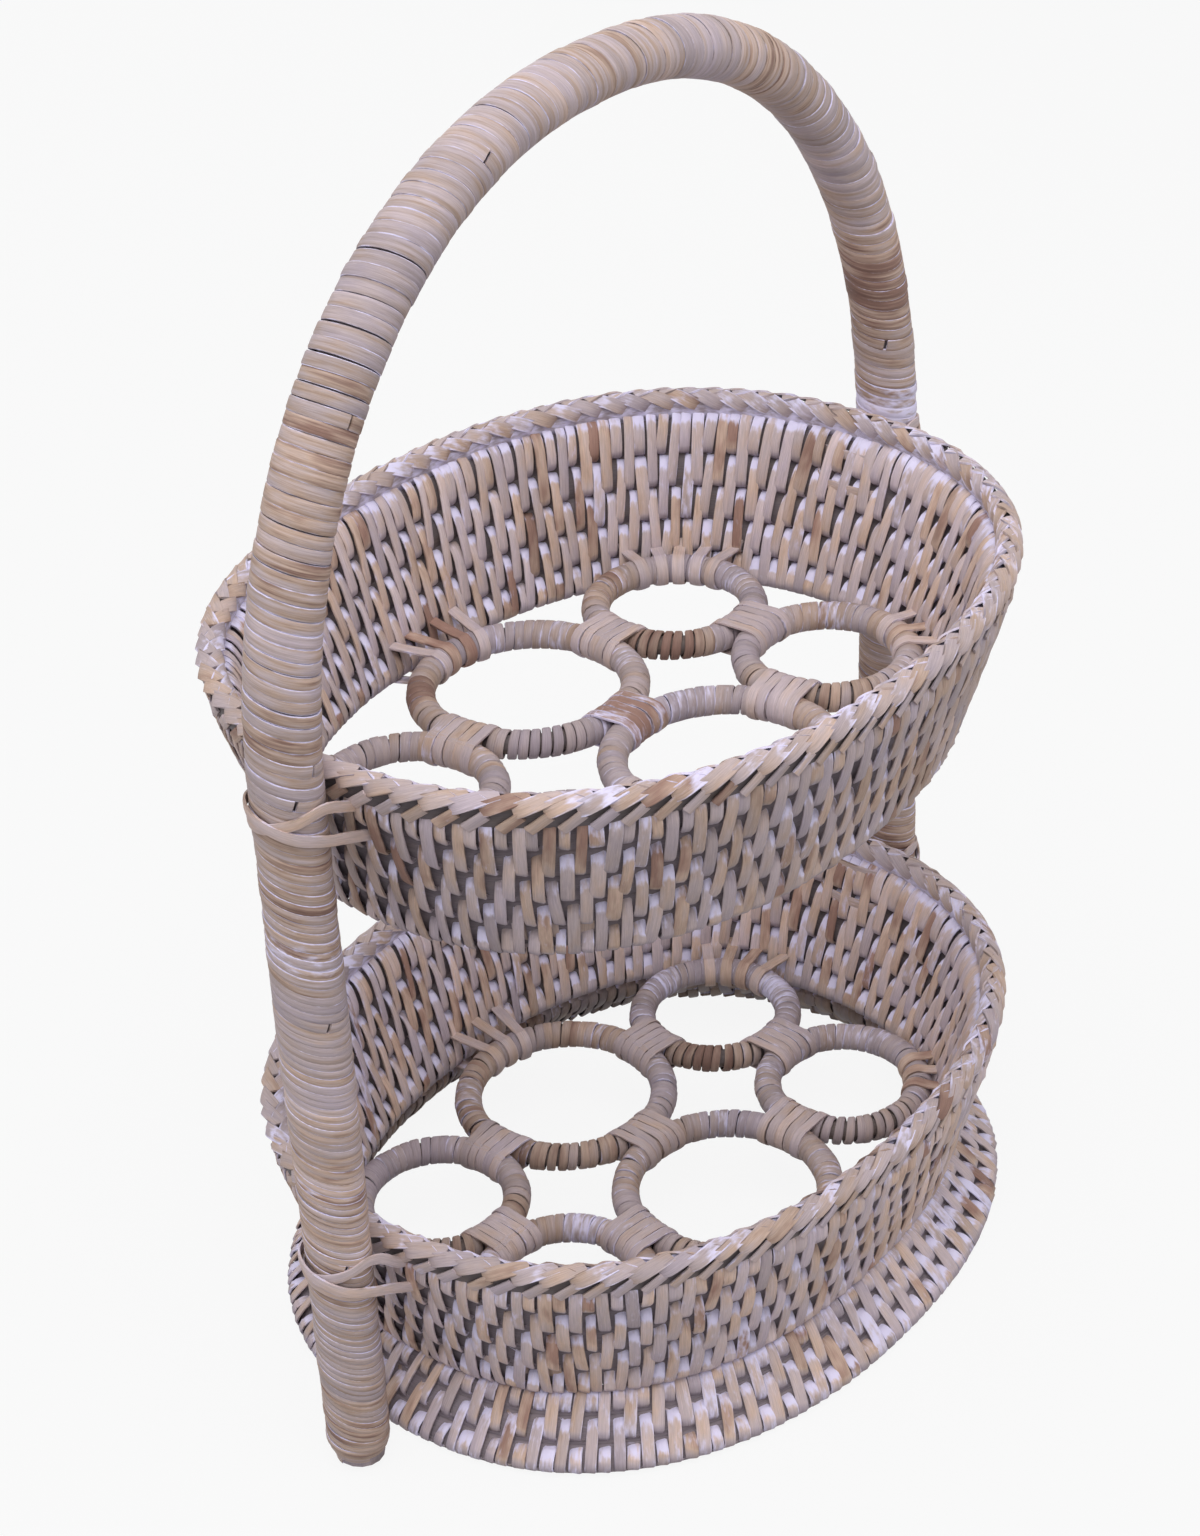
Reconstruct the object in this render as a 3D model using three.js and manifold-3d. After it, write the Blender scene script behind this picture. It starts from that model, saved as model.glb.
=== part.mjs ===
// Two-tier egg basket of cane: woven oval walls on rod hoops, six egg rings in each tray,
// and one arched handle whose legs stand on the floor and are lashed to both trays.
// Millimetres, +Z up. X runs along the basket's long axis and the handle's plane.

import * as THREE from 'three';
import { mergeVertices } from 'three/addons/utils/BufferGeometryUtils.js';
import Module from 'manifold-3d';

const wasm = await Module();
wasm.setup();

// Clearance between pieces that touch
const FIT = 0.3;

// Oval plan, the same at every level: its squareness, and its long half axis less its short one
const OVAL_POWER = 2.24;
const OVAL_DIFFERENCE = 16.6;
const OVAL_STEPS = 28;

// Egg rings, two rows of three in a tray with the larger ones in the middle
const MIDDLE_BORE = 43;
const CORNER_BORE = 31.5;
const RING_THICKNESS = 6;
const RING_LIFT = 5.8;
const LOWER_TWIST = -5.4;
const UPPER_TWIST = 1.8;
const RING_STEPS = 18;
const RING_SIDES = 6;

// Woven walls: rods between an outer and an inner layer of strips
const ROD_DIAMETER = 4.2;
const ROD_GAP = 3.48;
const ROD_SIDES = 4;
const STRIP_LAYER = 0.7;
const WALL_ROWS = 5;
const LOWER_SLOPE = 0.27;
const UPPER_SLOPE = 0.31;
const UPPER_BOTTOM = 137;

// Foot under the lower tray, flared outwards
const FOOT_ROWS = 3;
const FOOT_ROD_GAP = 0.4;
const FOOT_SLOPE = -0.9;

// Plaited rims
const RIM_THICKNESS = 5;
const RIM_SIDES = 6;

// Handle: a bent pole under a wound strip
const HANDLE_HEIGHT = 300;
const GRIP_DIAMETER = 12.4;
const LEG_DIAMETER = 14.4;
const TAPER_POWER = 3;
const HANDLE_POWER = 2.18;
const SPRING_BELOW_RIM = 7;
const LEG_SPLAY = 2.5;
const LEG_GAP = 0.4;
const CORE_STEPS = 72;
const CORE_SIDES = 6;
const WRAP_THICKNESS = 1.2;
const WRAP_CLEARANCE = 0.6;
const WRAP_TURNS = 24;
const WRAP_STEPS = 10;
const WRAP_GAP = 0.6;
const BARE_FOOT = 4;

// Cane of the ties and lashings
const CANE_WIDTH = 1.8;
const CANE_THICKNESS = 1;
const CANE_GAP = 0.5;
const TIE_CLEARANCE = 0.8;
const RING_TIE_TURNS = 3;
const WALL_TIE_TURNS = 2;
const LASHING_TURNS = 2;

// How far a cutter reaches past the wall that it cuts
const CUT_MARGIN = 3;

// Steps of the round ends of a ring tie's turn and of a lashing's turn
const TIE_ARC_STEPS = 4;
const LASHING_ARC_STEPS = 6;

// Fineness of searches along a line, of points on a ring and of lengths on the handle
const SEARCH_STEPS = 40;
const RING_LINE_POINTS = 72;
const HANDLE_DIVISIONS = 600;
const WELD_DISTANCE = 1e-4;

// Sizes that follow
const ringRadius = RING_THICKNESS / 2;
const rodRadius = ROD_DIAMETER / 2;
const rimRadius = RIM_THICKNESS / 2;
const gripRadius = GRIP_DIAMETER / 2;
const legRadius = LEG_DIAMETER / 2;
const coreDepth = WRAP_THICKNESS + WRAP_CLEARANCE;
const wallThickness = ROD_DIAMETER + 2 * (FIT + STRIP_LAYER);
const rodPitch = ROD_DIAMETER + ROD_GAP;
const footPitch = ROD_DIAMETER + FOOT_ROD_GAP;
const lashingWidth = ROD_GAP - 2 * FIT;
const firstRod = STRIP_LAYER + FIT + rodRadius;
const wallHeight = STRIP_LAYER + FIT + WALL_ROWS * rodPitch;
const footHeight = STRIP_LAYER + FIT + FOOT_ROWS * footPitch + CANE_THICKNESS;

const Z = new THREE.Vector3(0, 0, 1);
const basket = new THREE.Group();

function finish(color, roughness) {
  return new THREE.MeshStandardMaterial({ color, roughness, metalness: 0 });
}

function place(name, geometry, material) {
  const mesh = new THREE.Mesh(geometry, material);
  mesh.name = name;
  basket.add(mesh);
  return mesh;
}

function signedPower(value, power) {
  return Math.sign(value) * Math.abs(value) ** power;
}

// Point of the oval whose long half axis is given, at a parameter angle
function ovalPoint(longHalf, angle) {
  const power = 2 / OVAL_POWER;
  const x = longHalf * signedPower(Math.cos(angle), power);
  const y = (longHalf - OVAL_DIFFERENCE) * signedPower(Math.sin(angle), power);
  return new THREE.Vector2(x, y);
}

// Least distance from the points to the sides of the oval's polygon, positive inside it
function ovalInset(points, longHalf) {
  let least = Infinity;
  for (let i = 0; i < OVAL_STEPS; i++) {
    const start = ovalPoint(longHalf, (2 * Math.PI * i) / OVAL_STEPS);
    const side = ovalPoint(longHalf, (2 * Math.PI * (i + 1)) / OVAL_STEPS).sub(start);
    side.normalize();
    for (const point of points) {
      const inset = side.x * (point.y - start.y) - side.y * (point.x - start.x);
      least = Math.min(least, inset);
    }
  }
  return least;
}

// Smallest oval that keeps an inset round all the points
function ovalRound(points, inset) {
  const far = Math.max(...points.map((point) => point.length()));
  let low = OVAL_DIFFERENCE + inset;
  let high = 2 * (far + inset) + OVAL_DIFFERENCE;
  for (let i = 0; i < SEARCH_STEPS; i++) {
    const middle = (low + high) / 2;
    if (ovalInset(points, middle) < inset) low = middle;
    else high = middle;
  }
  return high;
}

// Distance from a point inside the oval to the oval along a direction
function ovalReach(from, direction, longHalf) {
  let low = 0;
  let high = 2 * longHalf;
  for (let i = 0; i < SEARCH_STEPS; i++) {
    const middle = (low + high) / 2;
    const point = from.clone().addScaledVector(direction, middle);
    if (ovalInset([point], longHalf) > 0) low = middle;
    else high = middle;
  }
  return low;
}

// A closed profile of long half axis and height, carried round the oval
function ovalHoop(profile) {
  const points = profile.map(([longHalf, height]) => new THREE.Vector2(longHalf, height));
  points.push(points[0].clone());
  const geometry = new THREE.LatheGeometry(points, OVAL_STEPS);
  geometry.rotateX(Math.PI / 2);
  const position = geometry.getAttribute('position');
  for (let i = 0; i < position.count; i++) {
    const longHalf = Math.hypot(position.getX(i), position.getY(i));
    const angle = Math.atan2(position.getY(i), position.getX(i));
    const point = ovalPoint(longHalf, angle);
    position.setXY(i, point.x, point.y);
  }
  return welded(geometry);
}

function roundProfile(longHalf, height, radius, sides) {
  const profile = [];
  for (let i = 0; i < sides; i++) {
    const angle = (2 * Math.PI * i) / sides;
    profile.push([longHalf + radius * Math.cos(angle), height + radius * Math.sin(angle)]);
  }
  return profile;
}

function welded(geometry) {
  geometry.deleteAttribute('normal');
  geometry.deleteAttribute('uv');
  return mergeVertices(geometry, WELD_DISTANCE);
}

function solidOf(geometry) {
  const vertProperties = Float32Array.from(geometry.getAttribute('position').array);
  const triVerts = Uint32Array.from(geometry.index.array);
  return new wasm.Manifold(new wasm.Mesh({ numProp: 3, vertProperties, triVerts }));
}

function cutBy(geometry, cutters) {
  let solid = solidOf(geometry);
  for (const cutter of cutters) solid = solid.subtract(solidOf(cutter));
  const mesh = solid.getMesh();
  const result = new THREE.BufferGeometry();
  result.setAttribute('position', new THREE.BufferAttribute(mesh.vertProperties, 3));
  result.setIndex(new THREE.BufferAttribute(mesh.triVerts, 1));
  return result;
}

// Box with its length along a plan direction
function cutterBox(centre, direction, length, width, height) {
  const geometry = new THREE.BoxGeometry(length, width, height);
  geometry.rotateZ(Math.atan2(direction.y, direction.x));
  geometry.translate(centre.x, centre.y, centre.z);
  return welded(geometry);
}

// One closed tube through rows of section points, each row counter-clockwise seen from ahead
function tubeOf(rows) {
  const sides = rows[0].length;
  const triangles = [];
  const quad = (a, b, c, d) => triangles.push(a, b, c, a, c, d);
  for (let row = 0; row + 1 < rows.length; row++) {
    for (let i = 0; i < sides; i++) {
      const next = (i + 1) % sides;
      const here = row * sides;
      quad(here + i, here + next, here + sides + next, here + sides + i);
    }
  }
  const last = (rows.length - 1) * sides;
  for (let i = 0; i + 1 < sides / 2; i++) {
    const corners = [i, i + 1, sides - 2 - i, sides - 1 - i];
    quad(...corners.map((corner) => last + corner));
    quad(...corners.reverse());
  }
  const geometry = new THREE.BufferGeometry().setFromPoints(rows.flat());
  geometry.setIndex(triangles);
  return geometry;
}

// Section rows of a flat strip along points, its width lying along the winding's axis
function stripRows(points, axis, width, thickness) {
  return points.map((point, i) => {
    const before = points[Math.max(i - 1, 0)];
    const after = points[Math.min(i + 1, points.length - 1)];
    const ahead = after.clone().sub(before).normalize();
    const across = axis.clone().addScaledVector(ahead, -axis.dot(ahead)).normalize();
    const out = ahead.clone().cross(across);
    const corner = (side, face) => point.clone()
      .addScaledVector(across, (side * width) / 2)
      .addScaledVector(out, (face * thickness) / 2);
    return [corner(-1, -1), corner(1, -1), corner(1, 1), corner(-1, 1)];
  });
}

// Least distance between the section points of different turns of one winding
function leastGap(rows, rowsInTurn) {
  let least = Infinity;
  for (let i = 0; i < rows.length; i++) {
    for (let j = i + Math.ceil(rowsInTurn / 2); j < rows.length; j++) {
      for (const a of rows[i]) {
        for (const b of rows[j]) least = Math.min(least, a.distanceTo(b));
      }
    }
  }
  return least;
}

function placeWinding(name, rows, rowsInTurn, material) {
  console.log(`${name}: least gap to itself ${leastGap(rows, rowsInTurn).toFixed(2)} mm`);
  return place(name, tubeOf(rows), material);
}

// Ring centres of one tray: each ring touches its neighbours, and the whole cluster is twisted
function ringCluster(twist) {
  const middle = MIDDLE_BORE / 2 + ringRadius;
  const corner = CORNER_BORE / 2 + ringRadius;
  const middleY = middle + ringRadius + FIT / 2;
  const cornerY = corner + ringRadius + FIT / 2;
  const spacing = middle + corner + RING_THICKNESS + FIT;
  const cornerX = Math.sqrt(spacing ** 2 - (middleY - cornerY) ** 2);
  const angle = THREE.MathUtils.degToRad(twist);
  const ring = (name, x, y, radius) => {
    const centre = new THREE.Vector2(x, y).rotateAround(new THREE.Vector2(), angle);
    return { name, centre, radius };
  };
  return [
    ring('back_left', -cornerX, cornerY, corner),
    ring('back_middle', 0, middleY, middle),
    ring('back_right', cornerX, cornerY, corner),
    ring('front_right', cornerX, -cornerY, corner),
    ring('front_middle', 0, -middleY, middle),
    ring('front_left', -cornerX, -cornerY, corner),
  ];
}

// Neighbours in a cluster that are tied together
const TIED_RINGS = [
  ['back_left', 'back_middle'], ['back_middle', 'back_right'], ['back_right', 'front_right'],
  ['front_right', 'front_middle'], ['front_middle', 'front_left'], ['front_left', 'back_left'],
  ['back_middle', 'front_middle'],
];

// Rings that are tied to the wall
const WALL_TIED = ['back_middle', 'back_right', 'front_right', 'front_left'];

function ringLine(ring) {
  const points = [];
  for (let i = 0; i < RING_LINE_POINTS; i++) {
    const angle = (2 * Math.PI * i) / RING_LINE_POINTS;
    const offset = new THREE.Vector2(Math.cos(angle), Math.sin(angle));
    points.push(ring.centre.clone().addScaledVector(offset, ring.radius));
  }
  return points;
}

// Wall of a tray or foot: its outer face's long half axis at any height, and its width in plan
function slopedWall(bottom, top, slope, outerAtBottom) {
  const width = wallThickness * Math.hypot(1, slope);
  const layer = STRIP_LAYER * Math.hypot(1, slope);
  const outer = (height) => outerAtBottom + slope * (height - bottom);
  return { bottom, top, slope, width, layer, outer };
}

function makeTray(name, bottom, slope, twist) {
  const rings = ringCluster(twist);
  const ringHeight = bottom + RING_LIFT;
  const stretch = Math.hypot(1, slope);
  const innerAtRings = ovalRound(rings.flatMap(ringLine), (ringRadius + FIT) * stretch);
  const outerAtBottom = innerAtRings + wallThickness * stretch - slope * RING_LIFT;
  const wall = slopedWall(bottom, bottom + wallHeight, slope, outerAtBottom);
  const rodHeights = [];
  for (let row = 0; row < WALL_ROWS; row++) rodHeights.push(bottom + firstRod + row * rodPitch);
  const rimHeight = wall.top + FIT + rimRadius;
  const rimHalf = wall.outer(rimHeight) - wall.width / 2;
  return { name, rings, ringHeight, wall, rodHeights, rimHeight, rimHalf };
}

const lower = makeTray('lower', footHeight + FIT, LOWER_SLOPE, LOWER_TWIST);
const upper = makeTray('upper', UPPER_BOTTOM, UPPER_SLOPE, UPPER_TWIST);
const footOuter = lower.wall.outer(lower.wall.bottom) - FOOT_SLOPE * footHeight;
const foot = slopedWall(0, footHeight, FOOT_SLOPE, footOuter);
const footRods = [];
for (let row = 0; row < FOOT_ROWS; row++) footRods.push(firstRod + row * footPitch);

// Handle line: legs that lean in a little, clear of the rims and the foot, and an arch above
const springHeight = upper.rimHeight - SPRING_BELOW_RIM;
const archRise = HANDLE_HEIGHT - gripRadius - springHeight;
const archShare = (SPRING_BELOW_RIM / archRise) ** HANDLE_POWER;
const reachOutside = rimRadius + LEG_GAP + legRadius;
const springX = (upper.rimHalf + reachOutside) / (1 - archShare) ** (1 / HANDLE_POWER);
const lowerRimShare = 1 - lower.rimHeight / springHeight;
const splayAtRim = (lower.rimHalf + reachOutside - springX) / lowerRimShare;
const splayAtFoot = footOuter + LEG_GAP + legRadius - springX;
const legLean = Math.max(LEG_SPLAY, splayAtRim, splayAtFoot) / springHeight;
const legFoot = (legRadius - coreDepth) * legLean;

// The curve's parameter runs up one leg, over the arch in two halves and down the other leg
class HandleLine extends THREE.Curve {
  constructor() {
    super();
    this.arcLengthDivisions = HANDLE_DIVISIONS;
  }

  getPoint(t, target = new THREE.Vector3()) {
    const side = t < 0.5 ? -1 : 1;
    const quarters = 4 * Math.min(t, 1 - t);
    if (quarters < 1) {
      const height = legFoot + (springHeight - legFoot) * quarters;
      return target.set(side * (springX + legLean * (springHeight - height)), 0, height);
    }
    const angle = (Math.PI / 2) * (quarters - 1);
    const power = 2 / HANDLE_POWER;
    const x = side * springX * Math.abs(Math.cos(angle)) ** power;
    return target.set(x, 0, springHeight + archRise * Math.sin(angle) ** power);
  }
}

const handleLine = new HandleLine();

// Point at a depth under the handle's surface, which tapers from the legs to the grip
function handlePoint(distance, depth, angle) {
  const share = distance / handleLine.getLength();
  const centre = handleLine.getPointAt(share);
  const rise = Math.max(centre.z - springHeight, 0) / archRise;
  const radius = legRadius - (legRadius - gripRadius) * rise ** TAPER_POWER - depth;
  const ahead = handleLine.getTangentAt(share);
  const side = new THREE.Vector3(0, 1, 0);
  const out = ahead.clone().cross(side);
  return centre
    .addScaledVector(side, radius * Math.cos(angle))
    .addScaledVector(out, radius * Math.sin(angle));
}

function legX(height) {
  const above = Math.max(height - springHeight, 0) / archRise;
  const arch = (1 - above ** HANDLE_POWER) ** (1 / HANDLE_POWER);
  return springX * arch + legLean * Math.max(springHeight - height, 0);
}

function makeHandle() {
  const length = handleLine.getLength();
  const core = [];
  for (let i = 0; i <= CORE_STEPS; i++) {
    const distance = (length * i) / CORE_STEPS;
    const row = [];
    for (let side = 0; side < CORE_SIDES; side++) {
      row.push(handlePoint(distance, coreDepth, (2 * Math.PI * side) / CORE_SIDES));
    }
    core.push(row);
  }
  place('handle_core', tubeOf(core), finish(0xb08d62, 0.8));

  // The strip winds round the core between two trimmed ends, just above each foot
  const low = BARE_FOOT;
  const high = length - BARE_FOOT;
  const pitch = (high - low) / (WRAP_TURNS - 1);
  const rows = [];
  for (let i = 1; i < WRAP_TURNS * WRAP_STEPS; i++) {
    const angle = (2 * Math.PI * i) / WRAP_STEPS;
    const lead = low + (pitch * i) / WRAP_STEPS;
    const front = Math.min(lead - WRAP_GAP / 2, high);
    const back = Math.max(lead - pitch + WRAP_GAP / 2, low);
    const edges = [back, (back + front) / 2, front];
    const inside = edges.map((edge) => handlePoint(edge, WRAP_THICKNESS, angle));
    const outside = edges.map((edge) => handlePoint(edge, 0, angle));
    rows.push([...inside, ...outside.reverse()]);
  }
  placeWinding('handle_wrap', rows, WRAP_STEPS, finish(0xb9a48b, 0.65));
}

// Strip layers round the rods: closed below, open upwards under what sits on it
function weaveProfile(wall) {
  const { bottom, top, width, layer, outer } = wall;
  const web = bottom + STRIP_LAYER;
  const inner = (height) => outer(height) - width;
  return [
    [outer(bottom), bottom], [outer(top), top],
    [outer(top) - layer, top], [outer(web) - layer, web],
    [inner(web) + layer, web], [inner(top) + layer, top],
    [inner(top), top], [inner(bottom), bottom],
  ];
}

function placeRods(name, wall, heights) {
  heights.forEach((height, row) => {
    const longHalf = wall.outer(height) - wall.width / 2;
    const hoop = ovalHoop(roundProfile(longHalf, height, rodRadius, ROD_SIDES));
    place(`${name}_rod_${row + 1}`, hoop, finish(0xd6cfc8, 0.8));
  });
}

function placeRings(tray) {
  for (const ring of tray.rings) {
    const hoop = new THREE.TorusGeometry(ring.radius, ringRadius, RING_SIDES, RING_STEPS);
    const name = `${tray.name}_ring_${ring.name}`;
    const mesh = place(name, welded(hoop), finish(0xbfae95, 0.7));
    mesh.position.set(ring.centre.x, ring.centre.y, tray.ringHeight);
  }
}

// Turns of cane round two rings where they touch
function placeRingTie(tray, first, second) {
  const from = tray.rings.find((ring) => ring.name === first);
  const to = tray.rings.find((ring) => ring.name === second);
  const across = to.centre.clone().sub(from.centre).normalize();
  const touch = from.centre.clone().addScaledVector(across, from.radius + ringRadius + FIT / 2);
  const along = new THREE.Vector3(-across.y, across.x, 0);
  const apart = ringRadius + FIT / 2;
  const loop = ringRadius + TIE_CLEARANCE + CANE_THICKNESS / 2;
  const rowsInArc = TIE_ARC_STEPS + 1;
  const rowsInTurn = 2 * rowsInArc;
  const pitch = CANE_WIDTH + CANE_GAP;
  const points = [];
  for (let i = 0; i <= RING_TIE_TURNS * rowsInTurn; i++) {
    const far = i % rowsInTurn < rowsInArc ? 1 : -1;
    const angle = ((i % rowsInArc) * Math.PI) / TIE_ARC_STEPS - (far * Math.PI) / 2;
    const out = far * apart + loop * Math.cos(angle);
    const shift = pitch * (i / rowsInTurn - RING_TIE_TURNS / 2);
    const height = tray.ringHeight + loop * Math.sin(angle);
    const point = new THREE.Vector3(touch.x + across.x * out, touch.y + across.y * out, height);
    points.push(point.addScaledVector(along, shift));
  }
  const rows = stripRows(points, along, CANE_WIDTH, CANE_THICKNESS);
  const name = `${tray.name}_ring_tie_${from.name}_to_${to.name}`;
  placeWinding(name, rows, rowsInTurn, finish(0x9c7b56, 0.65));
}

// Direction in which a ring comes nearest to its wall
function wallward(ring, longHalf) {
  const points = ringLine(ring);
  const insets = points.map((point) => ovalInset([point], longHalf));
  const nearest = points[insets.indexOf(Math.min(...insets))];
  return nearest.clone().sub(ring.centre).normalize();
}

// Turns of cane round a ring and the two lowest rods, under the wall and in above those rods
function placeWallTie(tray, ring) {
  const { wall, rodHeights, ringHeight } = tray;
  const direction = wallward(ring, wall.outer(ringHeight));
  const side = new THREE.Vector3(-direction.y, direction.x, 0);
  const slotHeight = (rodHeights[1] + rodHeights[2]) / 2;
  const under = wall.bottom - FIT - CANE_THICKNESS / 2;
  const stand = FIT + CANE_THICKNESS / 2;
  const outerAt = (height) => ovalReach(ring.centre, direction, wall.outer(height));
  const loop = ringRadius + TIE_CLEARANCE + CANE_THICKNESS / 2;
  const turn = [];
  for (const degrees of [-90, -135, 180, 135, 90]) {
    const angle = THREE.MathUtils.degToRad(degrees);
    turn.push([ring.radius + loop * Math.cos(angle), ringHeight + loop * Math.sin(angle)]);
  }
  turn.push([outerAt(slotHeight) - wall.width - stand, slotHeight]);
  turn.push([outerAt(slotHeight) + stand, slotHeight]);
  turn.push([outerAt(wall.bottom) + stand, under]);
  turn.push([outerAt(wall.bottom) - wall.width - stand, under]);
  const pitch = CANE_WIDTH + CANE_GAP;
  const points = [];
  for (let i = 0; i <= WALL_TIE_TURNS * turn.length; i++) {
    const [out, height] = turn[i % turn.length];
    const shift = pitch * (i / turn.length - WALL_TIE_TURNS / 2);
    const plan = ring.centre.clone().addScaledVector(direction, out);
    points.push(new THREE.Vector3(plan.x, plan.y, height).addScaledVector(side, shift));
  }
  const rows = stripRows(points, side, CANE_WIDTH, CANE_THICKNESS);
  placeWinding(`${tray.name}_wall_tie_${ring.name}`, rows, turn.length, finish(0xa58a66, 0.65));

  // The slot above the two rods, and the room under the wall
  const band = WALL_TIE_TURNS * pitch + CANE_WIDTH + 2 * FIT;
  const slot = CANE_THICKNESS + 2 * FIT;
  const boxAt = (height) => {
    const out = outerAt(height) - wall.width / 2;
    const plan = ring.centre.clone().addScaledVector(direction, out);
    const centre = new THREE.Vector3(plan.x, plan.y, height);
    return cutterBox(centre, direction, wall.width + 2 * CUT_MARGIN, band, slot);
  };
  return { slot: boxAt(slotHeight), under: boxAt(under) };
}

// Turns of cane round a leg, through the wall on both sides of it, under the top rods
function placeLashing(tray, side) {
  const { wall, rodHeights } = tray;
  const reach = legRadius + TIE_CLEARANCE + CANE_THICKNESS / 2;
  const stand = FIT + CANE_THICKNESS / 2;
  const points = [];
  const cutters = [];
  const direction = new THREE.Vector2(side, 0);
  for (let turn = 0; turn < LASHING_TURNS; turn++) {
    const above = rodHeights.length - 1 - turn;
    const height = (rodHeights[above] + rodHeights[above - 1]) / 2;
    const beside = ovalReach(new THREE.Vector2(0, reach), direction, wall.outer(height));
    const inside = beside - wall.width - stand - (wall.slope * lashingWidth) / 2;
    if (turn === 0) points.push(new THREE.Vector3(side * inside, 0, height));
    points.push(new THREE.Vector3(side * inside, -reach, height));
    for (let i = 0; i <= LASHING_ARC_STEPS; i++) {
      const angle = (Math.PI * i) / LASHING_ARC_STEPS - Math.PI / 2;
      const x = legX(height) + reach * Math.cos(angle);
      points.push(new THREE.Vector3(side * x, reach * Math.sin(angle), height));
    }
    points.push(new THREE.Vector3(side * inside, reach, height));
    for (const y of [-reach, reach]) {
      const centre = new THREE.Vector3(side * (beside - wall.width / 2), y, height);
      const slot = CANE_THICKNESS + 2 * FIT;
      const length = wall.width + 2 * CUT_MARGIN;
      cutters.push(cutterBox(centre, direction, length, slot, lashingWidth + 2 * FIT));
    }
  }
  const last = points[points.length - 1].clone();
  points.push(last.setY(0));
  const rows = stripRows(points, Z, lashingWidth, CANE_THICKNESS);
  const name = `${tray.name}_lashing_${side < 0 ? 'left' : 'right'}`;
  placeWinding(name, rows, LASHING_ARC_STEPS + 3, finish(0xb39a74, 0.65));
  return cutters;
}

function placeTray(tray) {
  const cutters = [];
  const underCuts = [];
  placeRings(tray);
  for (const [first, second] of TIED_RINGS) placeRingTie(tray, first, second);
  for (const ring of tray.rings.filter((each) => WALL_TIED.includes(each.name))) {
    const cuts = placeWallTie(tray, ring);
    cutters.push(cuts.slot);
    underCuts.push(cuts.under);
  }
  for (const side of [-1, 1]) cutters.push(...placeLashing(tray, side));
  const weave = ovalHoop(weaveProfile(tray.wall));
  place(`${tray.name}_wall_weave`, cutBy(weave, cutters), finish(0xc4b7a5, 0.75));
  placeRods(`${tray.name}_wall`, tray.wall, tray.rodHeights);
  const rim = ovalHoop(roundProfile(tray.rimHalf, tray.rimHeight, rimRadius, RIM_SIDES));
  place(`${tray.name}_rim`, rim, finish(0xbfb09b, 0.7));
  return underCuts;
}

makeHandle();
placeTray(upper);
const footCuts = placeTray(lower);
place('foot_weave', cutBy(ovalHoop(weaveProfile(foot)), footCuts), finish(0xb8a893, 0.75));
placeRods('foot', foot, footRods);

export default basket;
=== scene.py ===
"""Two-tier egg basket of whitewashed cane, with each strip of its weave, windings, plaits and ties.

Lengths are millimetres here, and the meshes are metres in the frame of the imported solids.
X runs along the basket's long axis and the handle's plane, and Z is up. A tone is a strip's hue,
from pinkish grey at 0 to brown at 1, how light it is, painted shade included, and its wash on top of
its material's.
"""

import math
from collections import namedtuple

import bpy
import numpy as np
from mathutils import Matrix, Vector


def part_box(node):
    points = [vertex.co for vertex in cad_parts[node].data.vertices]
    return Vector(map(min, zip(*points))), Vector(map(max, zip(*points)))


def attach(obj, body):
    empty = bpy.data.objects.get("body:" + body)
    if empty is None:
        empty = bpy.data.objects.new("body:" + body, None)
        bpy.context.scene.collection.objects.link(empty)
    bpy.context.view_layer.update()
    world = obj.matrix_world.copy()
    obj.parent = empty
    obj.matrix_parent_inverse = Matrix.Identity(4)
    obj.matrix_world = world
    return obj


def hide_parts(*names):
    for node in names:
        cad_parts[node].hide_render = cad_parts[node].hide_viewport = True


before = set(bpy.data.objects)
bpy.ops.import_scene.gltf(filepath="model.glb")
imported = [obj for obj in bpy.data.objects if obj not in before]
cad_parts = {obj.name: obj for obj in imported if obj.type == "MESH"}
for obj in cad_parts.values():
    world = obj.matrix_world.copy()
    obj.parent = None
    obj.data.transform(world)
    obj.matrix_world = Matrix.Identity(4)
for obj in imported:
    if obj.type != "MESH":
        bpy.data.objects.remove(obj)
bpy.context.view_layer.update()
scene = bpy.context.scene

MM = 0.001
UP = np.array([0.0, 0.0, 1.0])
random = np.random.default_rng(7)

# Camera of the photograph: where it stands, what it looks at, its roll and its lens
CAMERA_AZIMUTH = -49.156
CAMERA_ELEVATION = 32.23
CAMERA_ROLL = -3.2
CAMERA_DISTANCE = 738.4
CAMERA_TARGET = (38.7, 41.4, 95.4)
CAMERA_CLIP = 10.0
FOCAL_PIXELS = 2960.2
IMAGE_HEIGHT = 1536
SENSOR = 36.0

# Lamps, in metres: place, height that they point at, width and power
LAMPS = {
    "key": ((-0.425, -0.37, 1.5), 0.12, 1.2, 16),
    "front": ((-0.96, -0.83, 0.92), 0.12, 1.2, 2.5),
    "left": ((-0.9, 0.9, 0.6), 0.15, 0.9, 3),
    "right": ((0.85, -0.95, 0.6), 0.15, 0.9, 3),
    "back": ((0.7, 1.0, 0.8), 0.15, 0.9, 3),
}
SOFT_LIGHT = (0.95, 0.97, 1.0, 1)
SOFT_STRENGTH = 0.4
BACKDROP = (0.92, 0.92, 0.92, 1)
FLOOR_HALF = 3.0
FLOOR_GREY = (0.45, 0.45, 0.45, 1)
FLOOR_WHITE = 0.9

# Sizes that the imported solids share
OVAL_POWER = 2.24
ROD_RADIUS = 2.1
RIM_RADIUS = 2.5
RING_RADIUS = 3.0
CORE_RADIUS = 5.4
HANDLE_HEIGHT = 300.0
HANDLE_POWER = 2.18
SPRING_BELOW_RIM = 7.0
GRIP_RADIUS = 6.2
LEG_RADIUS = 7.2
LEG_GAP = 0.4
TAPER_POWER = 3

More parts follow.
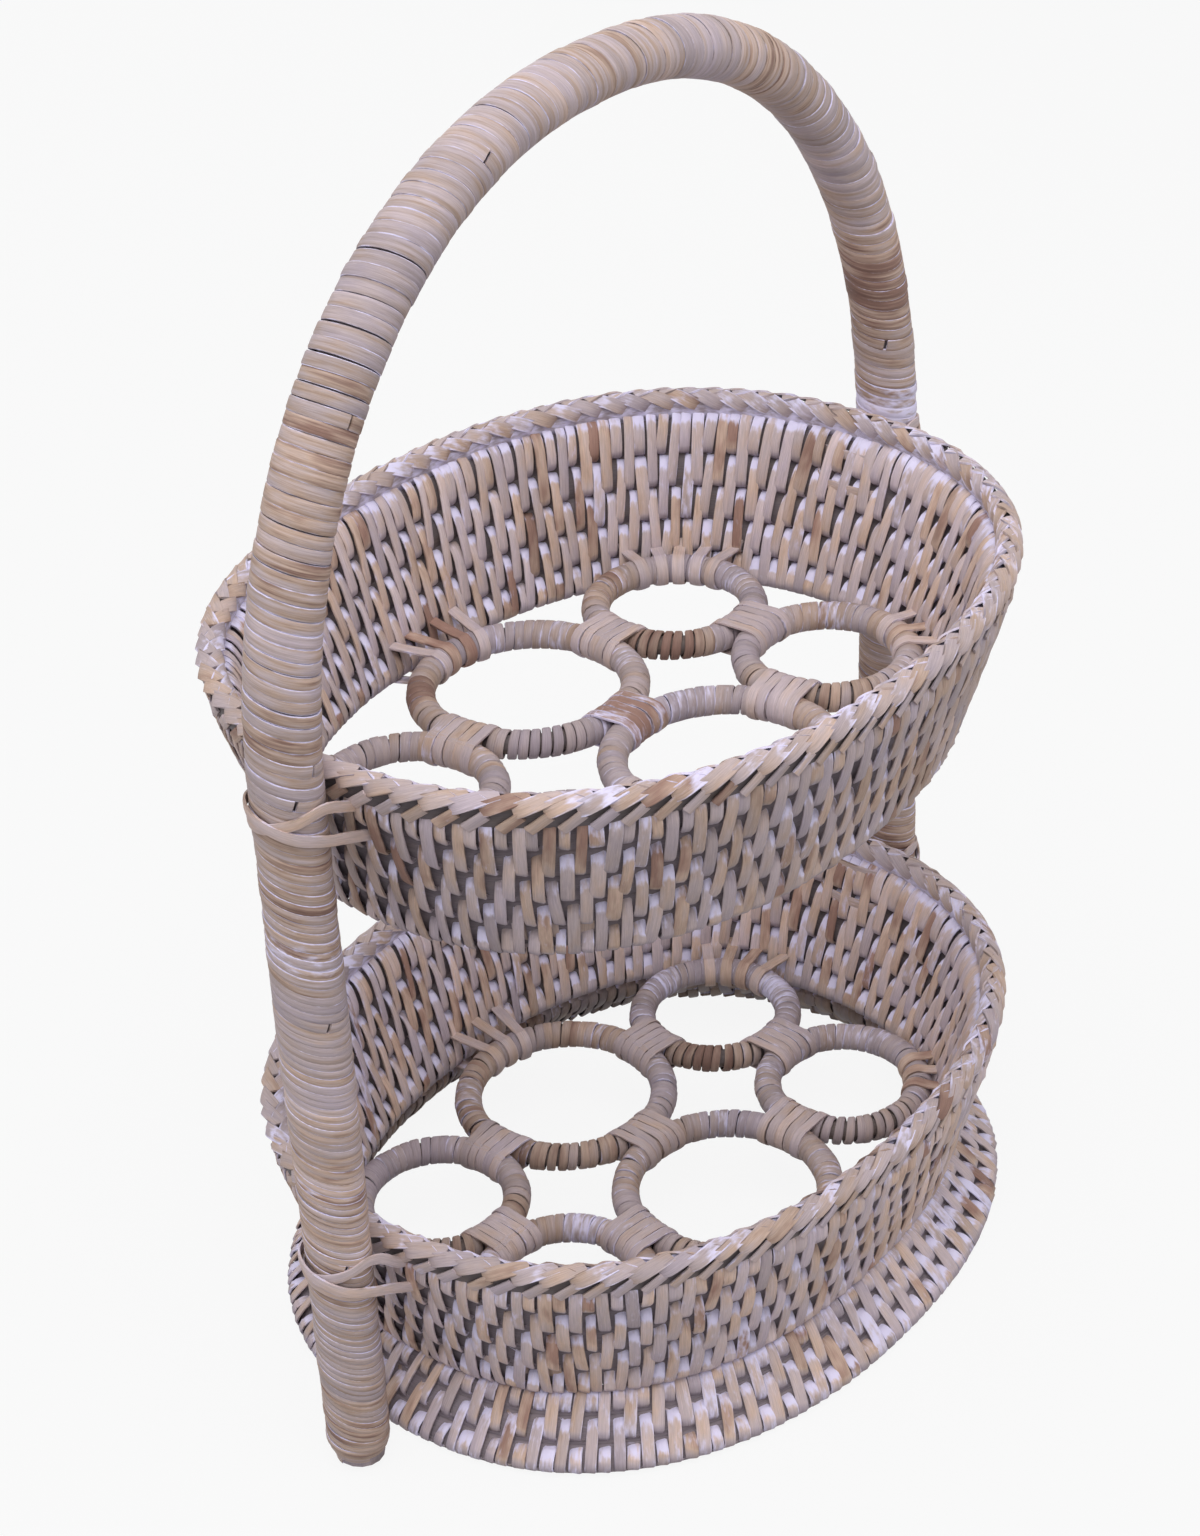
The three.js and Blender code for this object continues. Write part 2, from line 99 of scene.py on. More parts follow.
# Steps of the lines that strips follow, and those of a hoop that share a cell of its map
OVAL_STEPS = 4000
ARCH_STEPS = 2000
LEG_STEPS = 400
POLE_STEPS = 240
RIM_STEPS = 240
ROD_STEPS = 160
HOOP_STEPS = 72
PLAIT_STEPS = 12
TAB_STEPS = 5
ARC_STEPS = 6
STRAIGHT_STEPS = 4
WALL_TIE_STEPS = 4
LASH_STEPS = 6
RING_STEPS = 16
WIND_STEPS = 32
WIND_SAMPLES = 6000
MAP_BLOCK = 8
HOOP_BLOCK = 9

# Meshes: height over the floor, range of the grain's seeds, sharp edges, margin of a map's cell
FLOOR_GAP = 0.05
GRAIN_SEEDS = 40
SHARP_DEGREES = 50
MAP_MARGIN = 0.06

# Sections of strips: thickness, and as shares of it and of the half width the inside's half width,
# the edges' height, the outside's half width and its height
STRIP_THICKNESS = 0.6
WIND_THICKNESS = 0.7
CROWNED = (0.96, 0.55, 0.7, 0.96)
WOUND = (0.96, 0.7, 0.7, 0.96)
FLAT = (1, 0.8, 0.4, 1)

# Weave: strips round two rods, in columns that step one rod from each to the next
STRIP_WIDTH = 2.65
STRIP_COVER = 0.95
STRIP_LEAN = 0.07
STRIP_TILT = -0.16
STRIP_GAP = 0.6
LONGEST_DIP = 4.2
DIP_SHARE = 0.55
DIP_PROFILE = ((1.05, 1), (0.93, 0.62), (0.72, 0.3), (0.42, 0.08), (0.1, 0))
SQUARE_END = 1.8
SQUARE_PROFILE = ((0.1, 0.15), (0.6, 0), (0.9, 0.4), (1.05, 1.6))
BULGE = 1.12
TOP_REACH = 5.6
LOWEST_EDGE = 2.9
SHIFT_SPREAD = 0.17
LEAN_SPREAD = 0.045
LIFT_SPREAD = 0.2
TILT_SPREAD = 0.06
WIDTH_SPREAD = 0.08

# Tones of single strips: a few brown ones, washed upper ends, and lower ends made greyer and darker as
# painted shade
STRIP_TONE = ((0.5, 0.18), (1.06, 0.08), (0, 0.15))
BROWN_SHARE = 0.035
BROWN_HUE = 0.4
PALE_END = (-3.2, -1.6)
PALE_RANGE = (0.5, 1.5)
OUTER_PALE = 0.5
TOP_PALE = 0.6
LOWER_END_SHADE = (-2.0, -0.6)
LOWER_SHADE_HUE = 0.4
LOWER_SHADE_AMOUNT = 0.22
# Wash taken off an inner face that is painted darker as shade
SHADED_FACE_WASH_CUT = 2

# Tabs under the rims, from their lower to their upper ends
TAB_WIDTH = 2.7
TAB_UP = (-0.6, 3.0)
TAB_AROUND = (-0.1, 1.3)
TAB_OUT = (0.1, -0.5)
TAB_SPREAD = 0.08
TAB_TONE = ((0.45, 0.18), (1.02, 0.08), (0.12, 0.15))

# Reeds that fill the walls round their rods; their inner half is darker, as painted shade
REED_OVERLAP = 1.12
LOWEST_REED = 3.3
REED_SHARE = 0.64
REED_SIDES = 10
REED_INNER_SHADE = (0.3, 0.36, -0.1)

# Each wall: rods, columns of strips, half thickness, trim of the outer faces' lower and upper ends,
# wash, painted light and shade of the inner and outer faces, and tone of the reeds' outer side
Weave = namedtuple("Weave", "rods columns depth trim wash faces reed")
WALL_DEPTH = 2.55
WALL_TRIM = (2.1, 0.6)
WALL_REED = (0.1, 0.5, 0.1)
WALLS = {
    "foot": Weave(3, 168, 1.9, (0.8, 0.4), 0.28, (0.55, 1.0), (0.1, 0.52, 0.14)),
    "upper_wall": Weave(5, 180, WALL_DEPTH, WALL_TRIM, 0.08, (1.0, 0.9), WALL_REED),
    "lower_wall": Weave(5, 174, WALL_DEPTH, WALL_TRIM, 0.14, (1.1, 1.08), WALL_REED),
}

# Plaited rims: hoops as a core, with their places, thickness and tones, the outer hoop dark as painted
# shade, and flat strands over it from both sides, with their turn in degrees and lift from start to
# end, reach and wash
PLAIT_WIDTH = 3.3
PLAIT_CORE = 1.8
PLAIT_SINK = 1.5
PLAIT_CORES = ((0.4, 0.72, (0.3, 0.25, -0.3)), (-0.4, 0.6, (0.05, 0.75, 0.5)))
PLAIT_SIDES = (((-98, -4), (0.6, 0.0), 1.4, 0.16), ((80, -4), (0.6, 0.2), 1.55, 0.02))
PLAIT_TONE = ((0.48, 0.16), (0.92, 0.05), (0, 0.14))
PLAIT_SHIFT_SPREAD = 0.04
PLAIT_TURN_SPREAD = 3
PLAIT_LIFT_SPREAD = 0.06
PLAIT_WIDTH_SPREAD = 0.05
PLAIT_TUCK = 0.8
TUCK_SHARE = 0.16
END_WASH = 0.4
END_RANGE = (-0.4, 1.0)
PLAIT_END = (0.35, 0.6)

# Rings: their winding is loose and browner where they face the camera
RING_OUTSET = 0.2
RING_PITCH = 2.35
RING_SWELL = 0.45
LOOSE_SPREAD = 12
LOOSE_PART = (0.8, 0.93)
LOOSE_RANGE = (0.7, 1.0)
LOOSE_HUE = 0.25
LOOSE_WASH = -0.35
LOOSE_GAP = 0.17
RING_COVER = 0.99
TUBE_SHARE = 0.8
RING_CORE_TONE = (0.5, 0.3, -0.5)
RING_CORE_SIDES = 8

# Smooth random lines of the rings' winding: mean, and turns between fresh values with their spread
RING_WOBBLE = (0.0, (1, 0.12))
RING_BULGE = (0.0, (1, 0.07))
RING_HUE = (0.4, (6, 0.2), (1, 0.1))
RING_LIGHT = (0.78, (1, 0.07))
RING_WASH = (0.16, (4, 0.2))

# Rings tied to each other, and the pair with a brown tie
TIED = (
    ("back_left", "back_middle"), ("back_middle", "back_right"), ("back_right", "front_right"),
    ("front_right", "front_middle"), ("front_middle", "front_left"), ("front_left", "back_left"),
    ("back_middle", "front_middle"),
)
RING_PLACES = sorted(set(sum(TIED, ())))
BROWN_TIE = "upper_ring_tie_back_middle_to_front_middle"
BROWN_TIE_TONE = ((0.95, 0.07), (0.97, 0.06), (0.3, 0.12))
TIE_TONE = ((0.42, 0.07), (0.97, 0.06), (0.06, 0.12))
TIE_WIDTH = 2.4
TIE_PITCH = 2.55
TIE_STRIPS = 5
TIE_GAP = 0.1
TIE_SLANT = 0.05
SLANT_SPREAD = 0.03

# Each tray's wall ties: ring, degrees that its fan is turned by, and hues of its strips
WALL_TIES = {
    "upper": (
        ("back_middle", -8, (0.35, 0.95, 0.85, 0.4)), ("back_right", 0, (0.4, 0.3, 0.45, 0.35, 0.4)),
        ("front_right", 0, (0.5, 0.6, 0.4)), ("front_left", 0, (0.45, 0.5, 0.6)),
    ),
    "lower": (
        ("back_middle", -6, (0.4, 0.5, 0.45)), ("back_right", 0, (0.6, 0.75, 0.65, 0.5)),
        ("front_right", 0, (0.85, 0.65, 0.75)), ("front_left", 0, (0.45, 0.5, 0.6)),
    ),
}
WALL_TIE_TONE = ((0, 0.05), (1.03, 0.05), (0.05, 0.15))
WALL_TIE_WIDTH = 2.9
WALL_TIE_PITCH = 5.0
WALL_TIE_GAP = 0.05
FAN_SPREAD = 0.02
SLOT_BELOW_ROD = 1.0
ROUND_RING = (65, 100, 140, 180, 220, 260)
INSIDE_SLOT = (0.7, 1.0)
UNDER_ROD = ((-1.5, -2.9), (0.3, -1.2))
IN_SLOT = ((0.3, -2.0), (-0.5 * WALL_DEPTH, 0.2))

# Each tray's lashings: height above the top rod, rise to the left and right leg, and the strands'
# ways and shifts. Corners are shares of the reach round the leg and of the way into the wall
LASHINGS = {
    "upper": (-2.0, (4.5, 4.5), ((0.4, 2.3), (-1, 0.0))),
    "lower": (0.6, (7.5, 0.0), ((0.4, 2.0), (-0.8, -2.4), (-1.1, -1.0))),
}
ROUND_LEG = ((0, 1), (-0.7, 0.7), (-1, 0), (-0.7, -0.7), (0, -1))
INTO_WALL = ((0.6, -1.1), (1, -0.95), (1, 0.95), (0.6, 1.1))
LASH_TONE = ((0.5, 0.06), (1.05, 0.03), (0.05, 0.1))
LASH_WIDTH = 2.4
LASH_SLANT = 4.0
LASH_INWARD = 0.674
LASH_FORWARD = 0.739
LASH_LIMITS = (-1.3, 0.97)
LASH_LAYER = 0.35
LASH_CEILING = 4.0
LASH_DEPTH = 0.8
LASH_BEND = 0.3

# Along the handle, as a share of its length: pitch of the winding, how far its inner side and its
# front side lead the turn, per radius, how much more wash it has, and how far it stands out
WIND_PITCHES = (
    (0.0, 1.55), (0.12, 1.75), (0.25, 2.5), (0.4, 3.0), (0.55, 3.2), (0.75, 2.7), (1.0, 2.4),
)
WIND_LEANS = (
    (0.0, -0.25, -0.29), (0.24, -0.25, -0.29), (0.31, -0.10, -0.12), (0.42, 0.19, 0.24),
    (0.52, 0.40, 0.22), (0.64, -0.10, 0.28), (0.75, -0.12, 0.14), (1.0, -0.12, 0.14),
)
WIND_WASHES = ((0.0, 0.0), (0.3, -0.05), (0.4, -0.32), (0.55, -0.32), (0.68, -0.1), (1.0, 0.0))
HANDLE_SWELL = ((0.0, 0.0), (0.2, 0.45), (0.45, 0.5), (0.6, 0.1), (1.0, 0.0))

# The winding's strip, its ends at the feet, and its washed place above the rim on the right leg
WIND_WIDTH = 2.7
WIND_MARGIN = 2.6
LEAD_FADE = 12
FOOT_TAPER = 2.0
FOOT_TAPER_END = (-1, 6)
RIM_WASH = 0.7
RIM_WASH_PLACE = 2
RIM_WASH_FADE = (2, 10)

# Smooth random lines of the handle's winding, like the rings'
WIND_SHIFT = (0.0, (1, 0.1))
WIND_LIFT = (0.0, (1, 0.1), (5, 0.08))
WIND_COVER = (1.0, (1, 0.03))
WIND_HUE = (0.54, (9, 0.13), (0.8, 0.12))
WIND_LIGHT = (0.86, (2, 0.05))
WIND_WASH = (0.0, (6, 0.12), (0.5, 0.08))

# Splices of the winding: distance from the left foot, and degrees from its outside to the back.
# The spreads are those of the hue and light from splice to splice
SPLICES = (
    (62.5, 302), (126.5, 288), (179.9, 302), (187.9, 268), (253.4, 278), (311.1, 292), (402.0, 120),
    (455.0, 330), (502.9, 220), (560.0, 150), (622.0, 40),
)
SPLICE_GAP = 0.22
SPLICE_LIFT = 0.25
SPLICE_STEPS = 4
SPLICE_SPREADS = (0.08, 0.03)

# Pole in the handle
POLE_MARGIN = 2.0
POLE_GAP = 0.6
POLE_SIDES = 16
POLE_TONE = (0.2, 0.7, 0.1)
TANGENT_REACH = 1.5


def smooth_step(value, low, high):
    share = np.clip((value - low) / (high - low), 0, 1)
    return share * share * (3 - 2 * share)


def unit(vectors):
    return vectors / np.linalg.norm(vectors, axis=-1, keepdims=True)


def stack(*parts):
    """Arrays side by side along a new last axis."""
    return np.stack(np.broadcast_arrays(*parts), axis=-1)


def oval(angle, power):
    """Cosine and sine raised to a power, with their signs kept."""
    return [np.sign(part) * np.abs(part) ** power for part in (np.cos(angle), np.sin(angle))]


def between(ends, share):
    return ends[0] + (ends[1] - ends[0]) * share


def at_share(table, share):
    """Value at a share of the way, from a table of shares and values."""
    return np.interp(share, *np.array(table).T)


def wander(count, steps, mean, *parts):
    """A smooth random line: its parts have a fresh value every so many turns, and a spread."""
    line = mean
    for turns, spread in parts:
        spacing = turns * steps
        knots = random.normal(0, spread, int(count / spacing) + 3)
        line = line + np.interp(np.arange(count) / spacing, np.arange(len(knots)), knots)
    return line


def add_object(name, data):
    thing = bpy.data.objects.new(name, data)
    scene.collection.objects.link(thing)
    return thing


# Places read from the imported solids

def node_box(node):
    low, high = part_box(node)
    return np.array(low) / MM, np.array(high) / MM


class Oval:
    """Oval line of a hoop: its half axes and its height."""

    def __init__(self, node, tube_radius):
        low, high = node_box(node)
        self.long = high[0] - tube_radius
        self.short = high[1] - tube_radius
        self.height = (low[2] + high[2]) / 2


class Wall:
    """Sloped oval wall through the middles of its rods."""

    def __init__(self, name):
        self.name = name
        self.look = WALLS[name]
        self.rods = [Oval(f"{name}_rod_{row + 1}", ROD_RADIUS) for row in range(self.look.rods)]
        first, last = self.rods[0], self.rods[-1]
        self.slope = (last.long - first.long) / (last.height - first.height)
        self.stretch = math.hypot(1, self.slope)
        self.difference = first.long - first.short
        self.first = first
        self.half_pitch = (last.height - first.height) * self.stretch / (self.look.rods - 1) / 2
        middle = (first.height + last.height) / 2
        angles = np.linspace(0, math.tau, OVAL_STEPS + 1)
        steps = np.linalg.norm(np.diff(self.point(angles, middle), axis=0), axis=1)
        self.run = np.concatenate([[0], np.cumsum(steps)])
        self.run_angles = angles

    def long_half(self, height):
        return self.first.long + self.slope * (height - self.first.height)

    def point(self, angle, height):
        long_half = self.long_half(height)
        x, y = oval(angle, 2 / OVAL_POWER)
        return stack(long_half * x, (long_half - self.difference) * y, height)

    def plan_normal(self, angle, height):
        long_half = self.long_half(height)
        x, y = oval(angle, (OVAL_POWER - 1) * 2 / OVAL_POWER)
        return unit(stack(x / long_half, y / (long_half - self.difference), 0))

    def frame(self, angle, height):
        """Ways round the wall, up its slope and out of it."""
        normal = self.plan_normal(angle, height)
        around = stack(-normal[..., 1], normal[..., 0], 0)
        x, y = oval(angle, 2 / OVAL_POWER)
        up = unit(stack(self.slope * x, self.slope * y, 1 + 0 * height))
        return around, up, unit(np.cross(around, up))

    def angles_at(self, shares):
        """Angles at shares of the way round, measured as length."""
        return np.interp(np.mod(shares, 1) * self.run[-1], self.run, self.run_angles)


# Strips

def section_of(profile, width, thickness=STRIP_THICKNESS):
    """Corners of a strip's section, across it and out of it."""
    base, edge, crown, top = profile
    right = np.array([(base, 0), (1, edge), (crown, top)]) * (width / 2, thickness)
    left = right * (-1, 1)
    return np.concatenate([left[:1], right, left[:0:-1]])


def rounded(across, out, sides):
    angles = math.tau * np.arange(sides) / sides
    return stack(across * np.cos(angles), out * np.sin(angles))


class Strips:
    """Strips gathered into one mesh, with the values that the cane material reads."""

    def __init__(self):
        self.points, self.faces, self.grain, self.tone = [], [], [], []
        self.map_places, self.map_cells = [], []
        self.count = 0
        self.cells = 0

    def add(self, path, out, section, tone, closed=False, width=1.0, block=None):
        """Sweeps a section along paths of shape (strips, rows, 3) whose outward ways are given.

        width is a scale for each row, and block the rows that share a cell of the map.
        """
        strips, rows = path.shape[:2]
        sides = len(section)
        if closed:
            ahead = np.roll(path, -1, axis=1) - np.roll(path, 1, axis=1)
        else:
            ahead = np.gradient(path, axis=1)
        ahead = unit(ahead)
        across = unit(np.cross(out, ahead))
        out = np.cross(ahead, across)
        sideways = section[:, 0] * np.broadcast_to(width, (strips, rows))[..., None]
        points = path[:, :, None] + across[:, :, None] * sideways[..., None]
        points = points + out[:, :, None] * section[:, 1:]
        points[..., 2] = np.maximum(points[..., 2], FLOOR_GAP)
        self.points.append(points.reshape(-1, 3))

        steps = np.linalg.norm(np.diff(path, axis=1), axis=2)
        along = np.concatenate([np.zeros((strips, 1)), np.cumsum(steps, axis=1)], axis=1)
        seed = random.uniform(0, GRAIN_SEEDS, (strips, 1, 1))
        self.grain.append(stack(sideways, along[..., None], seed).reshape(-1, 3))
        tone = np.asarray(tone, float)
        while tone.ndim < 4:
            tone = np.expand_dims(tone, -2)
        tone = np.broadcast_to(tone, (strips, rows, sides, 3))
        edge = np.abs(section[:, 0]) / np.abs(section[:, 0]).max()
        self.tone.append(stack(*np.moveaxis(tone, -1, 0), edge).reshape(-1, 4))
        self._faces(strips, rows, sides, closed, block or rows)

    def _faces(self, strips, rows, sides, closed, block):
        row = np.arange(rows if closed else rows - 1)[:, None]
        side = np.arange(sides)
        after = (row + 1) % rows
        beside = (side + 1) % sides
        quads = sides * stack(row, row, after, after) + stack(side, beside, beside, side)
        quads = quads.reshape(-1, 4)
        start = row % block
        u = stack(side, side + 1, side + 1, side) / sides
        v = stack(start, start, start + 1, start + 1) / block
        places = stack(u, v).reshape(-1, 4, 2)
        cells = np.broadcast_to(row // block, (len(row), sides)).reshape(-1)
        if not closed:
            last = (rows - 1) * sides
            for corner in range(sides // 2 - 1):
                cap = np.array([corner, corner + 1, sides - 2 - corner, sides - 1 - corner])
                quads = np.concatenate([quads, [cap[::-1], last + cap]])
                places = np.concatenate([places, np.zeros((2, 4, 2))])
                cells = np.concatenate([cells, [0, 0]])
        starts = self.count + np.arange(strips)[:, None, None] * rows * sides
        self.faces.append((quads + starts).reshape(-1, 4))
        used = int(cells.max()) + 1
        first_cells = self.cells + np.arange(strips)[:, None] * used
        self.map_cells.append((cells + first_cells).reshape(-1))
        self.map_places.append(np.tile(places, (strips, 1, 1)))
        self.cells += strips * used
        self.count += strips * rows * sides

    def build(self, name, material, slot, *nodes):
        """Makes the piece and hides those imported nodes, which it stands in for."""
        points = np.concatenate(self.points) * MM
        faces = np.concatenate(self.faces)
        mesh = bpy.data.meshes.new(name)
        mesh.vertices.add(len(points))
        mesh.vertices.foreach_set("co", points.astype(np.float32).ravel())
        mesh.loops.add(faces.size)
        mesh.loops.foreach_set("vertex_index", faces.astype(np.int32).ravel())
        mesh.polygons.add(len(faces))
        mesh.polygons.foreach_set("loop_start", np.arange(0, faces.size, 4, dtype=np.int32))
        mesh.update(calc_edges=True)
        mesh.shade_smooth()
        mesh.set_sharp_from_angle(angle=math.radians(SHARP_DEGREES))
        grain = mesh.attributes.new("grain", "FLOAT_VECTOR", "POINT")
        grain.data.foreach_set("vector", np.concatenate(self.grain).astype(np.float32).ravel())
        tone = mesh.attributes.new("tone", "FLOAT_COLOR", "POINT")
        tone.data.foreach_set("color", np.concatenate(self.tone).astype(np.float32).ravel())
        self._map(mesh)
        mesh.materials.append(material)
        piece = add_object(name, mesh)
        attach(piece, "root")
        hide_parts(*nodes)

    def _map(self, mesh):
        """Lays each strip, or block of a long one, in a cell of its own."""
        cells = np.concatenate(self.map_cells)
        places = np.concatenate(self.map_places)
        columns = math.ceil(math.sqrt(self.cells))
        corner = stack(cells % columns, cells // columns)[:, None]
        layer = mesh.uv_layers.new(name="OFBake")
        spots = (corner + MAP_MARGIN + (1 - 2 * MAP_MARGIN) * places) / columns
        layer.uv.foreach_set("vector", spots.astype(np.float32).ravel())


def belt(low, high, radius):
    """Closed path round two rings: distance across them and up, and its outward way."""
    turn = np.linspace(0, math.pi, ARC_STEPS, endpoint=False)
    level = np.zeros(STRAIGHT_STEPS)
    run = (high - low) * np.linspace(0, 1, STRAIGHT_STEPS, endpoint=False)
    bulge = radius * np.sin(turn)
    across = np.concatenate([low + run, high + bulge, high - run, low - bulge])
    out_across = np.concatenate([level, np.sin(turn), level, -np.sin(turn)])
    out_up = np.concatenate([level + 1, np.cos(turn), level - 1, -np.cos(turn)])
    return across, radius * out_up, out_across, out_up


def strip_face(bottom, top, depth):
    """Line of a woven strip on one face, with a square lower end and an upper end that dips in."""
    dip = min(LONGEST_DIP, DIP_SHARE * (top - bottom))
    middle = (bottom + SQUARE_END + top - dip) / 2
    line = [(out * depth, bottom + up) for out, up in SQUARE_PROFILE]
    line.append((BULGE * depth, middle))
    line += [(out * depth, top - down * dip) for out, down in DIP_PROFILE]
    return np.array(line)


def stitch(bottom, top, depth, trim):
    """Closed path of a woven strip, whose outer face is trimmed at its lower and upper end."""
    outside = strip_face(bottom + trim[0], top - trim[1], depth)
    inside = strip_face(bottom, top, depth)
    line = np.concatenate([outside, inside[::-1] * (-1, 1)])
    normal = loop_normals(line)
    return line[:, 1], line[:, 0], normal[:, 1], normal[:, 0]


def smooth_loop(corners, steps):
    """Points on a smooth closed line through the corners."""
    corners = np.asarray(corners, float)
    count = len(corners)
    result = []
    for span in range(count):
        before, start, end, after = (corners[(span + step) % count] for step in (-1, 0, 1, 2))
        for share in np.arange(steps) / steps:
            first = 2 * start + (end - before) * share
            second = (2 * before - 5 * start + 4 * end - after) * share ** 2
            third = (3 * start - before - 3 * end + after) * share ** 3
            result.append((first + second + third) / 2)
    return np.array(result)


def loop_normals(line):
    """Ways out of a closed plane line that runs counter-clockwise."""
    ahead = unit(np.roll(line, -1, axis=0) - np.roll(line, 1, axis=0))
    return stack(ahead[:, 1], -ahead[:, 0])


# Materials

def linear(red, green, blue):
    """A display colour of 0 to 255 as the linear colour that shaders take."""
    channels = np.array([red, green, blue]) / 255
    return (*np.where(channels <= 0.04045, channels / 12.92, ((channels + 0.055) / 1.055) ** 2.4), 1)


# Colours of the cane by hue, of its wash and of the painted shade in its grooves
HUES = (
    (0.1, linear(184, 169, 178)), (0.4, linear(192, 174, 174)),
    (0.68, linear(194, 167, 151)), (0.95, linear(150, 117, 105)),
)
WASH = linear(224, 218, 246)
CREASE_SHADE = linear(70, 58, 57)

# Noises of the cane: scales across and along a strip and from strip to strip, and detail
FIBRES = ((4.5, 0.16, 3.7), 3.0)
THREADS = ((11.0, 0.5, 5.1), 2.0)
PATCHES = ((0.35, 0.11, 7.3), 2.0)
RESIDUE = ((0.9, 0.3, 11.9), 3.0)
BANDS = ((1.3, 0.05, 9.1), 2.0)

# What the noises do: change of hue, factor and offset of light, spread of the wash, and gloss.
# A pair of values on a strip's edge, wash or patches is where its effect starts and is full
PATCH_HUE = 0.9
FIBRE_LIGHT = (0.6, 0.67)
THREAD_LIGHT = (0.4, 0.8)
RESIDUE_SPREAD = 1.3
WASHED_EDGE = (0.72, 1.0)
WASHED = (0.35, 0.85)
WASH_COVER = 0.9
# Painted shade in the grooves: strip edges darkened in patches
SHADED_EDGE = (0.86, 1.0)
SHADE_PATCH = (0.5, 0.62)
CREASE_SHADE_COVER = 0.55
FIBRE_HEIGHT = 0.12
THREAD_HEIGHT = 0.5
GLOSS_SPREAD = 0.3
SPECULAR = 0.35


class Nodes:
    """A short way to add and join shader nodes."""

    def __init__(self, owner):
        owner.use_nodes = True
        self.tree = owner.node_tree
        self.tree.nodes.clear()

    def add(self, kind, inputs, output=0, **settings):
        """Adds a node with values or other nodes' outputs at its inputs, and returns an output."""
        node = self.tree.nodes.new(kind)
        for name, value in settings.items():
            setattr(node, name, value)
        for name, value in inputs.items():
            if isinstance(value, bpy.types.NodeSocket):
                self.tree.links.new(value, node.inputs[name])
            else:
                node.inputs[name].default_value = value
        return node.outputs[output]

    def end(self, kind, shader):
        self.tree.links.new(shader, self.tree.nodes.new(kind).inputs["Surface"])

    def math(self, operation, *values):
        return self.add("ShaderNodeMath", dict(enumerate(values)), operation=operation)

    def mix(self, share, first, second, kind="MIX"):
        inputs = {0: share, 6: first, 7: second}
        return self.add("ShaderNodeMix", inputs, 2, data_type="RGBA", blend_type=kind)

    def ramp(self, value, low, high):
        inputs = {"Value": value, "From Min": low, "From Max": high}
        return self.add("ShaderNodeMapRange", inputs, interpolation_type="SMOOTHSTEP")

    def noise(self, vector, scales, detail):
        vector = self.add("ShaderNodeVectorMath", {0: vector, 1: scales}, operation="MULTIPLY")
        return self.add("ShaderNodeTexNoise", {"Vector": vector, "Scale": 1.0, "Detail": detail})

    def swing(self, noise, amount):
        """A noise as a change up and down, of that amount in all."""
        return self.math("MULTIPLY", self.math("SUBTRACT", noise, 0.5), amount)

    def lit_or_seen(self, lit, seen, share):
        """One shader, but for the camera, mirrors and glass that share of another."""
        path = self.add("ShaderNodeLightPath", {}).node.outputs
        rays = self.math("MAXIMUM", path["Is Camera Ray"], path["Is Glossy Ray"])
        rays = self.math("MAXIMUM", rays, path["Is Transmission Ray"])
        return self.add("ShaderNodeMixShader", {0: self.math("MULTIPLY", rays, share), 1: lit, 2: seen})


